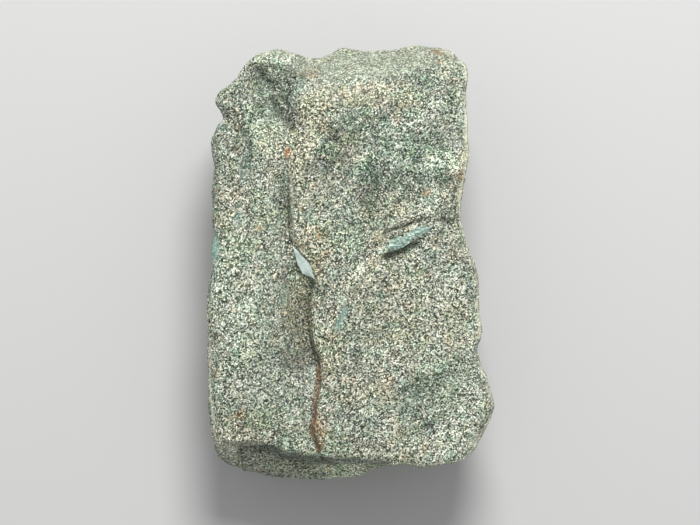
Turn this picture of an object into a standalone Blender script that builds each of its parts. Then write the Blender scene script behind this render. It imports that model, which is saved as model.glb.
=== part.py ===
"""A hand specimen of fuchsite schist: one natural stone, lying on its flat cleavage face.

The stone is a block cut into a lattice of cells, whose corners are then moved. The lattice of the
top follows the lines along which the stone has broken: the cleft that parts the west slab from the
other two, the ledge between those, and the edge of the south shelf. The walls break back bed by bed,
and the underside keeps one flat face.
Plan sizes and heights are in millimetres, x to the right, y away and z up, and MM makes them metres.
"""

import bisect
import math

import bmesh
import bpy
import numpy
from mathutils import Matrix, Vector, noise

MM = 0.001

# Cells of the lattice across and along the block, and the heights at which the walls are cut,
# as shares of the wall. Cuts that lie close together make the ledge between one bed and the next.
CELLS_ACROSS = 33
CELLS_ALONG = 50
LEVELS = (0.0, 0.10, 0.22, 0.25, 0.40, 0.43, 0.58, 0.61, 0.76, 0.79, 0.90, 0.96, 1.0)
BED_TOPS = (0.235, 0.415, 0.595, 0.775)

# Lattice columns and rows that follow the cleft, the ledge and the south break.
CLEFT_COLUMN = 13
LEDGE_ROW = 20
BREAK_ROW = 5
RELAXING_ROUNDS = 400

# The slabs of the top: a point in plan, the height there, and the slopes across and along.
WEST_SLAB = ((-25.0, 0.0), 32.0, (-0.02, 0.012))
UPPER_SLAB = ((0.0, 30.0), 35.4, (-0.012, 0.028))
LOWER_SLAB = ((10.0, -10.0), 33.6, (-0.012, 0.012))

# Widths over which the surface steps: down the cleft from north to south, and at the ledge.
CLEFT_WIDTH_PLACES = (-26.0, -20.0, 2.0, 10.0, 24.0, 36.0)
CLEFT_WIDTHS = (1.6, 2.0, 2.2, 2.8, 4.0, 7.0)
LEDGE_WIDTH = 3.0

# The open crack that carries the cleft on to the south end.
CRACK_DEPTH = 1.1
CRACK_HALF_WIDTH = 0.7
CRACK_NORTH_END = -25.0
CRACK_FADE = 4.0

# The south shelf: how far it drops, over what width, and how it then slopes.
SHELF_DROP = 5.2
SHELF_WIDTH = 2.2
SHELF_SLOPE = 0.55
SHELF_SLOPE_START = 1.6

# The north slope: steep beyond its edge, and gentle for a stretch before it.
NORTH_SLOPE = 0.6
NORTH_EASE = 0.12
NORTH_EASE_REACH = 9.0
NORTH_SLOPE_WEST_END = -14.0
NORTH_SLOPE_FADE = 6.0

# The rim: how far in it reaches, and how much lower the edge is than the slab, most on the west side.
RIM_REACH = 3.2
RIM_DROP_PLACES = (-34.0, -10.0)
RIM_DROPS = (2.2, 0.9)

# The walls: how far the foot stands in from the outline, and how rough the breaks are.
FOOT_INSET = 4.2
FOOT_CURVE = 1.6
BREAK_DEPTH = 2.4
BREAK_SIZE = 24.0
CHIP_DEPTH = 0.9
CHIP_SIZE = 8.0
BED_DEPTH = 1.5
BED_RUN = 15.0
BED_NOISE_STEP = 31.0
RIM_HOLD = 4.0
OUTLINE_HOLD = 1.4
SMOOTHING_COLUMNS = 5

# The underside: the margin round the flat face, and how far the foot is chipped up.
FLAT_MARGIN = 7.5
FOOT_LIFT = 3.4
FOOT_CHIP_SIZE = 9.0
FOOT_NOISE_LAYER = 40.0

# The outline from above, side by side, each from its first corner to its last.
SOUTH = (
    (-34.7, -50.3), (-32.4, -52.5), (-29.4, -53.5), (-27.2, -54.7), (-24.6, -55.0), (-21.6, -56.3),
    (-14.2, -56.5), (-10.0, -57.0), (-7.6, -56.7), (-3.0, -56.2), (2.2, -56.2), (4.8, -54.6),
    (8.2, -52.9), (14.8, -52.2), (17.0, -53.0), (19.4, -53.4), (23.0, -52.4), (27.2, -51.9),
    (30.6, -50.4), (32.4, -48.2),
)
EAST = (
    (32.4, -48.2), (34.6, -44.4), (36.6, -40.0), (37.3, -37.2), (36.3, -33.0), (35.6, -30.2),
    (34.2, -28.0), (32.9, -22.6), (32.7, -20.9), (33.9, -19.6), (33.7, -14.0), (33.2, -10.0),
    (33.6, -6.4), (32.7, -1.4), (31.0, 3.2), (29.6, 7.6), (28.8, 10.6), (28.7, 15.6),
    (29.6, 21.0), (30.7, 25.6), (30.7, 28.6), (30.2, 32.0), (30.1, 42.0), (30.5, 48.0), (29.8, 50.4),
)
NORTH = (
    (-28.4, 48.6), (-26.4, 51.0), (-24.4, 53.2), (-21.2, 53.8), (-18.6, 54.8), (-15.2, 53.6),
    (-12.2, 52.7), (-9.4, 52.1), (-7.8, 52.2), (-4.6, 53.6), (-2.0, 55.0), (0.6, 54.4),
    (5.0, 54.0), (9.6, 54.3), (13.8, 55.0), (17.0, 55.4), (21.0, 55.1), (24.6, 54.9),
    (27.2, 53.2), (29.8, 50.4),
)
WEST = (
    (-34.7, -50.3), (-35.4, -46.6), (-36.0, -41.4), (-36.7, -38.2), (-36.1, -33.2), (-36.7, -25.0),
    (-36.5, -16.0), (-37.0, -10.0), (-36.5, -6.2), (-35.5, -2.6), (-35.6, 3.0), (-35.0, 9.4),
    (-35.6, 17.2), (-35.0, 24.4), (-35.9, 30.6), (-34.8, 33.4), (-33.6, 36.1), (-32.3, 36.5),
    (-33.3, 38.4), (-35.0, 40.8), (-33.4, 43.8), (-29.8, 46.2), (-28.4, 48.6),
)

# The cleft that parts the west slab from the other two, from the south edge to the north.
CLEFT = (
    (-7.6, -56.7), (-7.8, -50.0), (-9.0, -45.4), (-9.4, -42.0), (-9.2, -37.0), (-7.8, -32.0),
    (-8.0, -26.0), (-10.0, -20.0), (-10.2, -12.0), (-9.3, -5.4), (-10.6, -1.0), (-13.4, 2.2),
    (-15.4, 8.0), (-15.6, 20.0), (-15.0, 31.0), (-13.6, 37.0), (-12.2, 42.2), (-9.8, 46.4),
    (-9.4, 52.1),
)
# The ledge where the upper slab breaks off above the lower one, from the cleft to the east edge.
LEDGE = (
    (-8.0, -26.0), (-4.6, -18.6), (-0.6, -11.6), (4.4, -3.8), (8.4, 0.2),
    (13.0, 3.0), (18.6, 6.6), (24.4, 9.6), (28.8, 10.6),
)
# The edge along which the south end breaks down to its shelf; east of the last bend it is the rim.
SOUTH_BREAK = (
    (-35.4, -46.6), (-28.0, -46.6), (-23.4, -46.2), (-17.0, -48.4), (-7.8, -50.0),
    (4.0, -50.8), (10.0, -50.6), (22.0, -49.4), (34.6, -44.4),
)
SHELF_EAST_END = 9.0
SHELF_FADE = 5.0
# The edge beyond which the north end slopes down, from the cleft to the east edge.
NORTH_BREAK = ((-24.0, 45.2), (-9.0, 45.0), (0.0, 46.6), (10.0, 48.0), (20.0, 50.6), (40.0, 50.8))

# Which point of a line each knot of the lattice sits at: lattice index, then number of the point.
SOUTH_KNOTS = ((0, 0), (CLEFT_COLUMN, 8), (CELLS_ACROSS, 19))
NORTH_KNOTS = ((0, 0), (CLEFT_COLUMN, 7), (CELLS_ACROSS, 19))
EAST_KNOTS = ((0, 0), (BREAK_ROW, 1), (LEDGE_ROW, 16), (CELLS_ALONG, 24))
WEST_KNOTS = ((0, 0), (BREAK_ROW, 1), (CELLS_ALONG, 22))
CLEFT_KNOTS = ((0, 0), (BREAK_ROW, 1), (LEDGE_ROW, 6), (CELLS_ALONG, 18))
BREAK_KNOTS = ((0, 0), (CLEFT_COLUMN, 4), (CELLS_ACROSS, 8))
LEDGE_KNOTS = ((CLEFT_COLUMN, 0), (CELLS_ACROSS, 8))

# Rises and hollows of the top: centre, half widths, turn in degrees, and height.
SWELLINGS = (
    ((-26.0, -9.0), (7.0, 17.0), 4.0, 1.7),
    ((-21.5, 30.5), (6.5, 7.5), 20.0, 1.9),
    ((-24.0, 17.0), (7.0, 6.0), 0.0, 0.7),
    ((-20.0, 51.0), (9.0, 3.2), -4.0, 1.3),
    ((-23.0, 46.5), (4.4, 3.6), -30.0, -2.2),
    ((-17.0, 40.5), (4.0, 7.5), 24.0, -2.2),
    ((-17.6, 15.0), (3.0, 9.0), 0.0, -1.0),
    ((-12.6, -12.0), (5.0, 12.0), 4.0, -2.8),
    ((-11.5, -24.5), (4.6, 4.4), -20.0, -1.6),
    ((-13.0, -42.0), (6.0, 9.0), 0.0, 0.9),
    ((-26.5, -37.0), (8.0, 7.0), 0.0, 0.8),
    ((-31.0, 35.0), (3.4, 3.0), 30.0, -1.5),
    ((5.0, 33.0), (9.0, 6.0), 15.0, -0.7),
    ((23.0, 27.0), (8.0, 4.5), 12.0, 0.9),
    ((8.0, 6.5), (9.0, 2.6), 33.0, 1.1),
    ((3.0, 20.0), (6.0, 7.0), -20.0, -0.6),
    ((24.6, 11.0), (2.4, 1.6), 10.0, -1.9),
    ((12.0, 0.4), (5.4, 1.9), 32.0, -1.6),
    ((24.0, -31.0), (9.0, 2.6), 24.0, -1.3),
    ((16.5, -39.0), (2.8, 6.0), -10.0, -1.0),
    ((30.0, -40.0), (5.0, 8.0), -28.0, 1.2),
    ((14.0, -16.0), (13.0, 10.0), 0.0, 0.6),
    ((0.0, -40.0), (6.0, 7.0), 10.0, 0.5),
)

# Lumps that cover the whole top, coarse and fine: their size and height.
LUMPS = ((7.0, 0.45), (3.4, 0.25))

SCHIST_GREEN = (0.32, 0.35, 0.27, 1.0)
SCHIST_ROUGHNESS = 0.6
SHARP_ANGLE = 34.0


def smooth_step(value):
    """0 below 0, 1 above 1, and an even slope between."""
    share = min(1.0, max(0.0, value))
    return share * share * (3.0 - 2.0 * share)


def mix(first, second, share):
    """The value that lies this share of the way from first to second."""
    return first + (second - first) * share


def wander(place, size):
    """Even noise from about -1 to 1, whose lumps are about this size."""
    return noise.noise(Vector(place) / size)


def point_along(line, share):
    """The point at this share of a broken line's length."""
    points = [Vector(point) for point in line]
    lengths = [(b - a).length for a, b in zip(points, points[1:])]
    left = share * sum(lengths)
    for start, end, length in zip(points, points[1:], lengths):
        if left <= length:
            return start.lerp(end, left / length)
        left -= length
    return points[-1]


def spread(line, knots):
    """A line's points for each lattice index from its first knot to its last."""
    points = []
    for (first, start), (last, end) in zip(knots, knots[1:]):
        piece = line[start:end + 1]
        points += [point_along(piece, step / (last - first)) for step in range(last - first)]
    return points + [Vector(line[knots[-1][1]])]


def distance_beside(line, place):
    """Distance from a broken line: positive to the right of it, negative to the left."""
    nearest = math.inf
    signed = 0.0
    for start, end in zip(line, line[1:]):
        a = Vector(start)
        run = Vector(end) - a
        share = min(1.0, max(0.0, (place - a).dot(run) / run.length_squared))
        gap = place - (a + run * share)
        if gap.length < nearest:
            nearest = gap.length
            signed = math.copysign(nearest, run.y * gap.x - run.x * gap.y)
    return signed


def swelling(centre, half_widths, turn, place):
    """A soft rise of height 1 over an ellipse that is turned in plan."""
    offset = Matrix.Rotation(-math.radians(turn), 2) @ (place - Vector(centre))
    return math.exp(-((offset.x / half_widths[0]) ** 2) - (offset.y / half_widths[1]) ** 2)


def cleft_width(y):
    """Width in plan of the step at the cleft."""
    return float(numpy.interp(y, CLEFT_WIDTH_PLACES, CLEFT_WIDTHS))


def plane_height(slab, place):
    """Height of a slab at a place in plan."""
    point, height, slopes = slab
    return height + (place - Vector(point)).dot(Vector(slopes))


def slab_height(place):
    """Height of the three slabs, with the steps where one breaks off above another."""
    below_ledge = smooth_step(0.5 + distance_beside(LEDGE, place) / LEDGE_WIDTH)
    west_of_cleft = smooth_step(0.5 - distance_beside(CLEFT, place) / cleft_width(place.y))
    east = mix(plane_height(UPPER_SLAB, place), plane_height(LOWER_SLAB, place), below_ledge)
    return mix(east, plane_height(WEST_SLAB, place), west_of_cleft)


def crack_fall(place):
    """How deep the open crack is."""
    open_share = smooth_step((CRACK_NORTH_END - place.y) / CRACK_FADE)
    return CRACK_DEPTH * open_share * math.exp(-((distance_beside(CLEFT, place) / CRACK_HALF_WIDTH) ** 2))


def north_fall(place):
    """How far the north slope lies below the slabs."""
    beyond = -distance_beside(NORTH_BREAK, place)
    eastward = smooth_step((place.x - NORTH_SLOPE_WEST_END) / NORTH_SLOPE_FADE)
    ease = NORTH_EASE * min(NORTH_EASE_REACH, max(0.0, beyond + NORTH_EASE_REACH))
    return eastward * (NORTH_SLOPE * max(0.0, beyond) + ease)


def south_fall(place):
    """How far the south shelf lies below the slabs."""
    beyond = distance_beside(SOUTH_BREAK, place)
    westward = smooth_step(0.5 + (SHELF_EAST_END - place.x) / SHELF_FADE)
    slope = SHELF_SLOPE * max(0.0, beyond - SHELF_SLOPE_START)
    return westward * (SHELF_DROP * smooth_step(beyond / SHELF_WIDTH) + slope)


def top_height(place, edge_distance):
    """Height of the top at a place in plan that is this far in from the outline."""
    height = slab_height(place) - crack_fall(place) - north_fall(place) - south_fall(place)
    for centre, half_widths, turn, rise in SWELLINGS:
        height += rise * swelling(centre, half_widths, turn, place)
    for size, rise in LUMPS:
        height += rise * wander((place.x, place.y, size), size)
    inward = min(1.0, edge_distance / RIM_REACH)
    rim_drop = float(numpy.interp(place.x, RIM_DROP_PLACES, RIM_DROPS))
    return height - rim_drop * (1.0 - math.sqrt(1.0 - (1.0 - inward) ** 2))


def outline_ring():
    """The outline's point for each column of cells, round from the south-west corner."""
    ring = spread(SOUTH, SOUTH_KNOTS)[:-1] + spread(EAST, EAST_KNOTS)[:-1]
    ring += spread(NORTH, NORTH_KNOTS)[:0:-1] + spread(WEST, WEST_KNOTS)[:0:-1]
    return ring


def smoothed(ring):
    """The ring with each point at the mean of its neighbours."""
    reach = range(-SMOOTHING_COLUMNS, SMOOTHING_COLUMNS + 1)
    means = []
    for column in range(len(ring)):
        near = [ring[(column + step) % len(ring)] for step in reach]
        means.append(sum(near, Vector((0.0, 0.0))) / len(near))
    return means


def column_of(i, j):
    """Which column of the ring stands at this lattice corner of the block's edge."""
    around = 2 * (CELLS_ACROSS + CELLS_ALONG)
    if j == 0:
        return i
    if i == CELLS_ACROSS:
        return CELLS_ACROSS + j
    if j == CELLS_ALONG:
        return 2 * CELLS_ACROSS + CELLS_ALONG - i
    return (around - j) % around


def relaxed_plan(ring, guides):
    """Places in plan of the lattice, spread evenly between the ring and the guides that it keeps."""
    plan = numpy.zeros((CELLS_ACROSS + 1, CELLS_ALONG + 1, 2))
    kept = numpy.zeros((CELLS_ACROSS + 1, CELLS_ALONG + 1), dtype=bool)
    for i in range(CELLS_ACROSS + 1):
        for j in range(CELLS_ALONG + 1):
            south = ring[column_of(i, 0)]
            north = ring[column_of(i, CELLS_ALONG)]
            plan[i, j] = south.lerp(north, j / CELLS_ALONG)
            if i in (0, CELLS_ACROSS) or j in (0, CELLS_ALONG):
                plan[i, j] = ring[column_of(i, j)]
                kept[i, j] = True
    for (i, j), place in guides.items():
        plan[i, j] = place
        kept[i, j] = True
    free = ~kept[1:-1, 1:-1, None]
    for _ in range(RELAXING_ROUNDS):
        means = (plan[:-2, 1:-1] + plan[2:, 1:-1] + plan[1:-1, :-2] + plan[1:-1, 2:]) / 4.0
        plan[1:-1, 1:-1] = numpy.where(free, means, plan[1:-1, 1:-1])
    return plan


def break_guides():
    """Lattice corners of the top that sit on the south break, the ledge and both sides of the cleft."""
    guides = {}
    for i, place in enumerate(spread(SOUTH_BREAK, BREAK_KNOTS)):
        guides[i, BREAK_ROW] = place
    for i, place in enumerate(spread(LEDGE, LEDGE_KNOTS), CLEFT_COLUMN):
        guides[i, LEDGE_ROW] = place
    for j, place in enumerate(spread(CLEFT, CLEFT_KNOTS)):
        side = Vector((cleft_width(place.y) / 2.0, 0.0))
        guides[CLEFT_COLUMN - 1, j] = place - side
        guides[CLEFT_COLUMN, j] = place
        guides[CLEFT_COLUMN + 1, j] = place + side
    return {corner: place for corner, place in guides.items() if 0 < corner[0] < CELLS_ACROSS
            and 0 < corner[1] < CELLS_ALONG}


def wall_inset(place, height, level):
    """How far a wall stands in from the outline at this height; level is 0 at the foot, 1 at the rim."""
    below_rim = smooth_step((1.0 - level) * RIM_HOLD)
    spot = (place.x, place.y, height)
    bed = bisect.bisect(BED_TOPS, level)
    breaks = BREAK_DEPTH * (0.5 + wander(spot, BREAK_SIZE)) + CHIP_DEPTH * wander(spot, CHIP_SIZE)
    beds = BED_DEPTH * wander((place.x, place.y, bed * BED_NOISE_STEP), BED_RUN)
    return FOOT_INSET * (1.0 - level) ** FOOT_CURVE + below_rim * (max(0.0, breaks) + beds)


def foot_height(place, edge_distance):
    """Height of the underside, which is flat but for its chipped margin."""
    chipped = 0.5 + 0.5 * wander((place.x, place.y, FOOT_NOISE_LAYER), FOOT_CHIP_SIZE)
    return FOOT_LIFT * chipped * (1.0 - smooth_step(edge_distance / FLAT_MARGIN))


def distance_to_ring(ring, place):
    """Distance in plan from a place to a closed ring."""
    return abs(distance_beside(ring + ring[:1], place))


def cut_block():
    """A unit block cut into the lattice by planes across each axis."""
    block = bmesh.new()
    bmesh.ops.create_cube(block, size=1.0, matrix=Matrix.Translation((0.5, 0.5, 0.5)))
    across_cuts = [i / CELLS_ACROSS for i in range(1, CELLS_ACROSS)]
    along_cuts = [j / CELLS_ALONG for j in range(1, CELLS_ALONG)]
    for axis, cuts in enumerate((across_cuts, along_cuts, LEVELS[1:-1])):
        normal = Vector((0.0, 0.0, 0.0))
        normal[axis] = 1.0
        for cut in cuts:
            whole = block.verts[:] + block.edges[:] + block.faces[:]
            bmesh.ops.bisect_plane(block, geom=whole, dist=1e-6, plane_co=normal * cut, plane_no=normal)
    return block


def shape_stone(block):
    """Moves the lattice corners of the block to the surface of the stone."""
    rim = outline_ring()
    plain = smoothed(rim)
    inward = []
    for k, place in enumerate(plain):
        run = plain[(k + 1) % len(plain)] - plain[k - 1]
        inward.append(Vector((-run.y, run.x)).normalized())
    rim_heights = [top_height(place, 0.0) for place in rim]

    def wall_point(column, level):
        """The point of a wall at this column and level."""
        outline = plain[column].lerp(rim[column], smooth_step(level * OUTLINE_HOLD))
        foot = foot_height(outline, 0.0)
        height = mix(foot, rim_heights[column], level)
        place = outline + inward[column] * wall_inset(outline, height, level)
        return place.x, place.y, height

    foot_ring = [Vector(wall_point(column, 0.0)[:2]) for column in range(len(rim))]
    top_plan = relaxed_plan(rim, break_guides())
    foot_plan = relaxed_plan(foot_ring, {})
    for corner in block.verts:
        i = round(corner.co.x * CELLS_ACROSS)
        j = round(corner.co.y * CELLS_ALONG)
        if i in (0, CELLS_ACROSS) or j in (0, CELLS_ALONG):
            point = wall_point(column_of(i, j), corner.co.z)
        elif corner.co.z > 0.5:
            place = Vector(top_plan[i, j])
            point = (place.x, place.y, top_height(place, distance_to_ring(rim, place)))
        else:
            place = Vector(foot_plan[i, j])
            point = (place.x, place.y, foot_height(place, distance_to_ring(foot_ring, place)))
        corner.co = Vector(point) * MM


def centre_stone(block):
    """Moves the stone so that its bounding box stands centred on the origin."""
    xs = [corner.co.x for corner in block.verts]
    ys = [corner.co.y for corner in block.verts]
    centre = Vector((min(xs) + max(xs), min(ys) + max(ys), 0.0)) / 2.0
    bmesh.ops.translate(block, verts=block.verts[:], vec=-centre)


def join_flat_face(block):
    """Makes the level cells of the underside one flat face, and parts the rest across their low way."""
    level = [face for face in block.faces if all(abs(corner.co.z) < 1e-9 for corner in face.verts)]
    uneven = list(set(block.faces) - set(level))
    bmesh.ops.triangulate(block, faces=uneven, quad_method="SHORT_EDGE")
    bmesh.ops.dissolve_faces(block, faces=level, use_verts=True)


def schist_material():
    """Grey-green schist, dull but for its mica."""
    material = bpy.data.materials.new("fuchsite_schist")
    material.use_nodes = True
    shader = material.node_tree.nodes["Principled BSDF"]
    shader.inputs["Base Color"].default_value = SCHIST_GREEN
    shader.inputs["Roughness"].default_value = SCHIST_ROUGHNESS
    return material


def add_stone():
    """The stone as one named object."""
    block = cut_block()
    shape_stone(block)
    centre_stone(block)
    join_flat_face(block)
    bmesh.ops.recalc_face_normals(block, faces=block.faces[:])
    mesh = bpy.data.meshes.new("fuchsite_stone")
    block.to_mesh(mesh)
    block.free()
    mesh.shade_smooth()
    mesh.set_sharp_from_angle(angle=math.radians(SHARP_ANGLE))
    mesh.materials.append(schist_material())
    stone = bpy.data.objects.new("fuchsite_stone", mesh)
    bpy.context.scene.collection.objects.link(stone)


def main():
    for startup_object in list(bpy.data.objects):
        bpy.data.objects.remove(startup_object)
    add_stone()


main()
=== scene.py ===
"""The looks of a fuchsite schist hand specimen: its broken, mica-flecked skin, its flakes and its blades.

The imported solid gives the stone's size, outline, slabs, cleft and ledge. A closed skin replaces it:
the same form with its facets worn off, broken into fine beds round the sides and into grains on top.
Thousands of mica flakes lie on the skin as plates of their own, and smooth blue-green blades lie in
the cleft and along the ledge. Lengths are in millimetres until a mesh is written, in the solid's own
directions, and places in plan are measured from the point PLAN_CENTRE, as in the part's source.
"""

import logging
import math
from dataclasses import dataclass, field
from enum import Enum

import bmesh
import bpy
import numpy as np
from mathutils import Matrix, Vector, noise
from mathutils.bvhtree import BVHTree

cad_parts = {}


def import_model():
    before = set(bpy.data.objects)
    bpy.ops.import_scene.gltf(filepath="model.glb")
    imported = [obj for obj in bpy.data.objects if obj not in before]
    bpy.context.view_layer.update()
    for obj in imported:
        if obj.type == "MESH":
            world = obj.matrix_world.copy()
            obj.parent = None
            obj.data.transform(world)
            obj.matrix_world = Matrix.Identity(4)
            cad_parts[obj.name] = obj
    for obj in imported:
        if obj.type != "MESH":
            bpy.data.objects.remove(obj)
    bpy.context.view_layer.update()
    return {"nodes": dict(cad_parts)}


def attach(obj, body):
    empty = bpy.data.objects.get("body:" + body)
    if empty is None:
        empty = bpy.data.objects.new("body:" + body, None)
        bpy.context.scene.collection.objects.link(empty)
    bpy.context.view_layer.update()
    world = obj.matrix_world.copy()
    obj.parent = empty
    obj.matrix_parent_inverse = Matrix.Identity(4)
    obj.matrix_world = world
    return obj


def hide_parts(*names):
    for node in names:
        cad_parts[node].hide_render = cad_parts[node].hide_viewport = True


LOG = logging.getLogger("fuchsite")

MM = 0.001
NODE = "fuchsite_stone"

# The middle of the solid's box, in the plan that the lines and patches below are given in.
PLAN_CENTRE = np.array((0.18, -0.79))

Place = tuple[float, float]
Colour = tuple[float, float, float]
Stops = tuple[tuple[float, Colour], ...]
Socket = bpy.types.NodeSocket


class Tint(Enum):
    """Colours laid over the schist in patches: stains, painted shade, and pale tints that partly paint
    light; each is also the name of an attribute.
    """

    EMERALD = "emerald"
    BEIGE = "beige"
    FROST_AND_PAINTED_LIGHT = "frost"
    CRUST = "crust"
    TEAL = "teal"
    RUST = "rust"
    PAINTED_SHADE_AND_DARK_SPOTS = "shade"
    LIP_AND_HIGHLIGHT = "lip"
    SAGE = "sage"


class FlakeKind(Enum):
    """The kinds of mica that lie on the skin; each is also the end of a piece's name."""

    SILVER = "silver"
    CREAM = "cream"
    GREEN = "green"
    GLINT = "glint"
    DARK = "dark"


@dataclass(frozen=True)
class Patch:
    """An ellipse in plan over which a tint is strong."""

    centre: Place
    radii: Place
    turn: float = 0.0
    strength: float = 1.0

    def reach(self, plan: np.ndarray) -> np.ndarray:
        """How far out places lie, as a share of the ellipse's radius.

        Args:
            plan: Places in plan, one a row.

        Returns:
            One value a place: 0 at the centre and 1 on the ellipse.
        """
        angle = math.radians(self.turn)
        turned = np.array(((math.cos(angle), -math.sin(angle)), (math.sin(angle), math.cos(angle))))
        offset = (plan - np.array(self.centre)) @ turned
        return np.hypot(offset[:, 0] / self.radii[0], offset[:, 1] / self.radii[1])


@dataclass(frozen=True)
class Seam:
    """A broken line in plan along which a tint or a groove runs."""

    points: tuple[Place, ...]
    width: float
    strength: float = 1.0

    def distance(self, plan: np.ndarray) -> np.ndarray:
        """How far places lie from the line.

        Args:
            plan: Places in plan, one a row.

        Returns:
            One distance a place, in millimetres.
        """
        nearest = np.full(len(plan), np.inf)
        for start, end in zip(self.points, self.points[1:]):
            a = np.array(start)
            run = np.array(end) - a
            share = np.clip((plan - a) @ run / (run @ run), 0.0, 1.0)
            nearest = np.minimum(nearest, np.hypot(*(plan - a - share[:, None] * run).T))
        return nearest


def shifted(points: tuple[Place, ...], x: float = 0.0, y: float = 0.0) -> tuple[Place, ...]:
    """The points of a line, moved in plan."""
    return tuple((point[0] + x, point[1] + y) for point in points)


# The red-brown crack that carries the cleft on to the south end.
CRACK = Seam(
    (
        (-8.2, -24.5), (-8.0, -27.6), (-7.7, -30.5), (-8.2, -33.7), (-9.0, -36.9), (-8.7, -39.5),
        (-9.3, -41.1), (-9.6, -44.0), (-8.8, -45.9), (-7.6, -48.5),
    ),
    width=0.45,
)
# The thin cracks, darkened with painted shade: above the blue-green strip, and below it where the ledge is
# hollowed out.
STRIP_CRACK = Seam(
    ((8.5, 6.9), (11.0, 8.0), (13.5, 8.5), (16.1, 9.7), (17.8, 10.2), (19.3, 10.6)), width=0.32
)
LEDGE_HOLLOW = Seam(((9.2, 0.7), (10.8, 1.4), (12.6, 2.0), (14.6, 2.9), (17.2, 4.2)), width=0.65)
LEDGE_FOOT = Seam(((-4.6, -18.6), (-0.6, -11.6), (4.4, -3.8), (8.4, 0.2)), width=0.4)
# The foot of the cliff along the cleft: north of the pale blade, and south of it where it is sharpest.
CLIFF_NORTH = Seam(((-15.7, 22.0), (-15.7, 8.0), (-14.9, 4.4)), width=0.45)
CLIFF_SOUTH = Seam(
    ((-9.4, -5.4), (-10.2, -8.0), (-10.6, -12.0), (-10.7, -16.0), (-10.3, -20.0), (-9.1, -24.0)), width=0.4
)
# The breaks across the sloping corner at the north-west, cut in and darkened with painted shade.
CORNER_CRACKS = (
    Seam(((-24.7, 50.3), (-22.6, 47.8), (-20.1, 45.1)), width=0.9, strength=0.6),
    Seam(((-19.8, 41.6), (-17.4, 37.8), (-14.5, 33.8)), width=0.65, strength=1.0),
    Seam(((-17.8, 42.3), (-15.6, 39.6), (-13.2, 37.6)), width=0.5, strength=0.85),
    Seam(((-20.8, 46.0), (-18.2, 42.0), (-16.2, 38.4)), width=0.4, strength=0.45),
    Seam(((-24.9, 42.3), (-23.4, 39.9), (-22.2, 38.4)), width=0.4, strength=0.6),
    Seam(((-29.4, 37.4), (-27.8, 33.8), (-26.2, 29.9), (-24.8, 26.2)), width=0.4, strength=0.65),
    Seam(((-31.9, 31.4), (-31.2, 28.6)), width=0.45, strength=0.7),
)
# The sharp edges with a pale lip, right at the outline; the lip is partly painted highlight where the edges
# catch the light.
EAST_RIM = (
    (24.4, 54.5), (27.0, 52.9), (29.5, 50.2), (30.2, 48.0), (29.8, 42.0), (29.9, 32.0), (30.4, 28.6),
    (30.4, 25.6), (29.3, 21.0), (28.4, 15.6), (28.5, 10.6), (29.3, 7.6), (30.7, 3.2), (32.4, -1.4),
    (33.3, -6.4), (32.9, -10.0), (33.4, -14.0), (33.6, -19.6),
)
CORNER_RIM = (
    (32.6, -22.6), (33.9, -28.0), (35.3, -30.2), (36.0, -33.0), (37.0, -37.2), (36.3, -40.0), (34.3, -44.4),
    (32.1, -48.0), (30.4, -50.1), (27.0, -51.6), (23.0, -52.1), (19.4, -53.1), (14.8, -51.9), (8.2, -52.6),
)
WEST_RIM = ((-36.0, -20.0), (-35.8, -34.0), (-35.0, -40.8), (-34.3, -48.2))
# The edge along which the south end breaks down, with a band of painted shade below it, and the lip below
# that.
SOUTH_EDGE = ((-33.0, -46.8), (-27.8, -46.9), (-20.4, -46.5), (-15.9, -48.5), (-9.5, -49.1), (-4.7, -49.7))
SOUTH_LIP = (
    (-34.3, -50.2), (-29.4, -53.2), (-24.6, -54.7), (-21.6, -56.0), (-14.2, -56.2), (-3.0, -55.9),
    (2.2, -55.9),
)
# The rim of the upper slab, just above the ledge, brightened with painted light.
LEDGE_RIM = ((-5.4, -17.4), (-1.6, -10.4), (3.2, -3.0), (7.4, 1.4), (12.0, 6.6), (18.0, 9.4))

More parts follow.
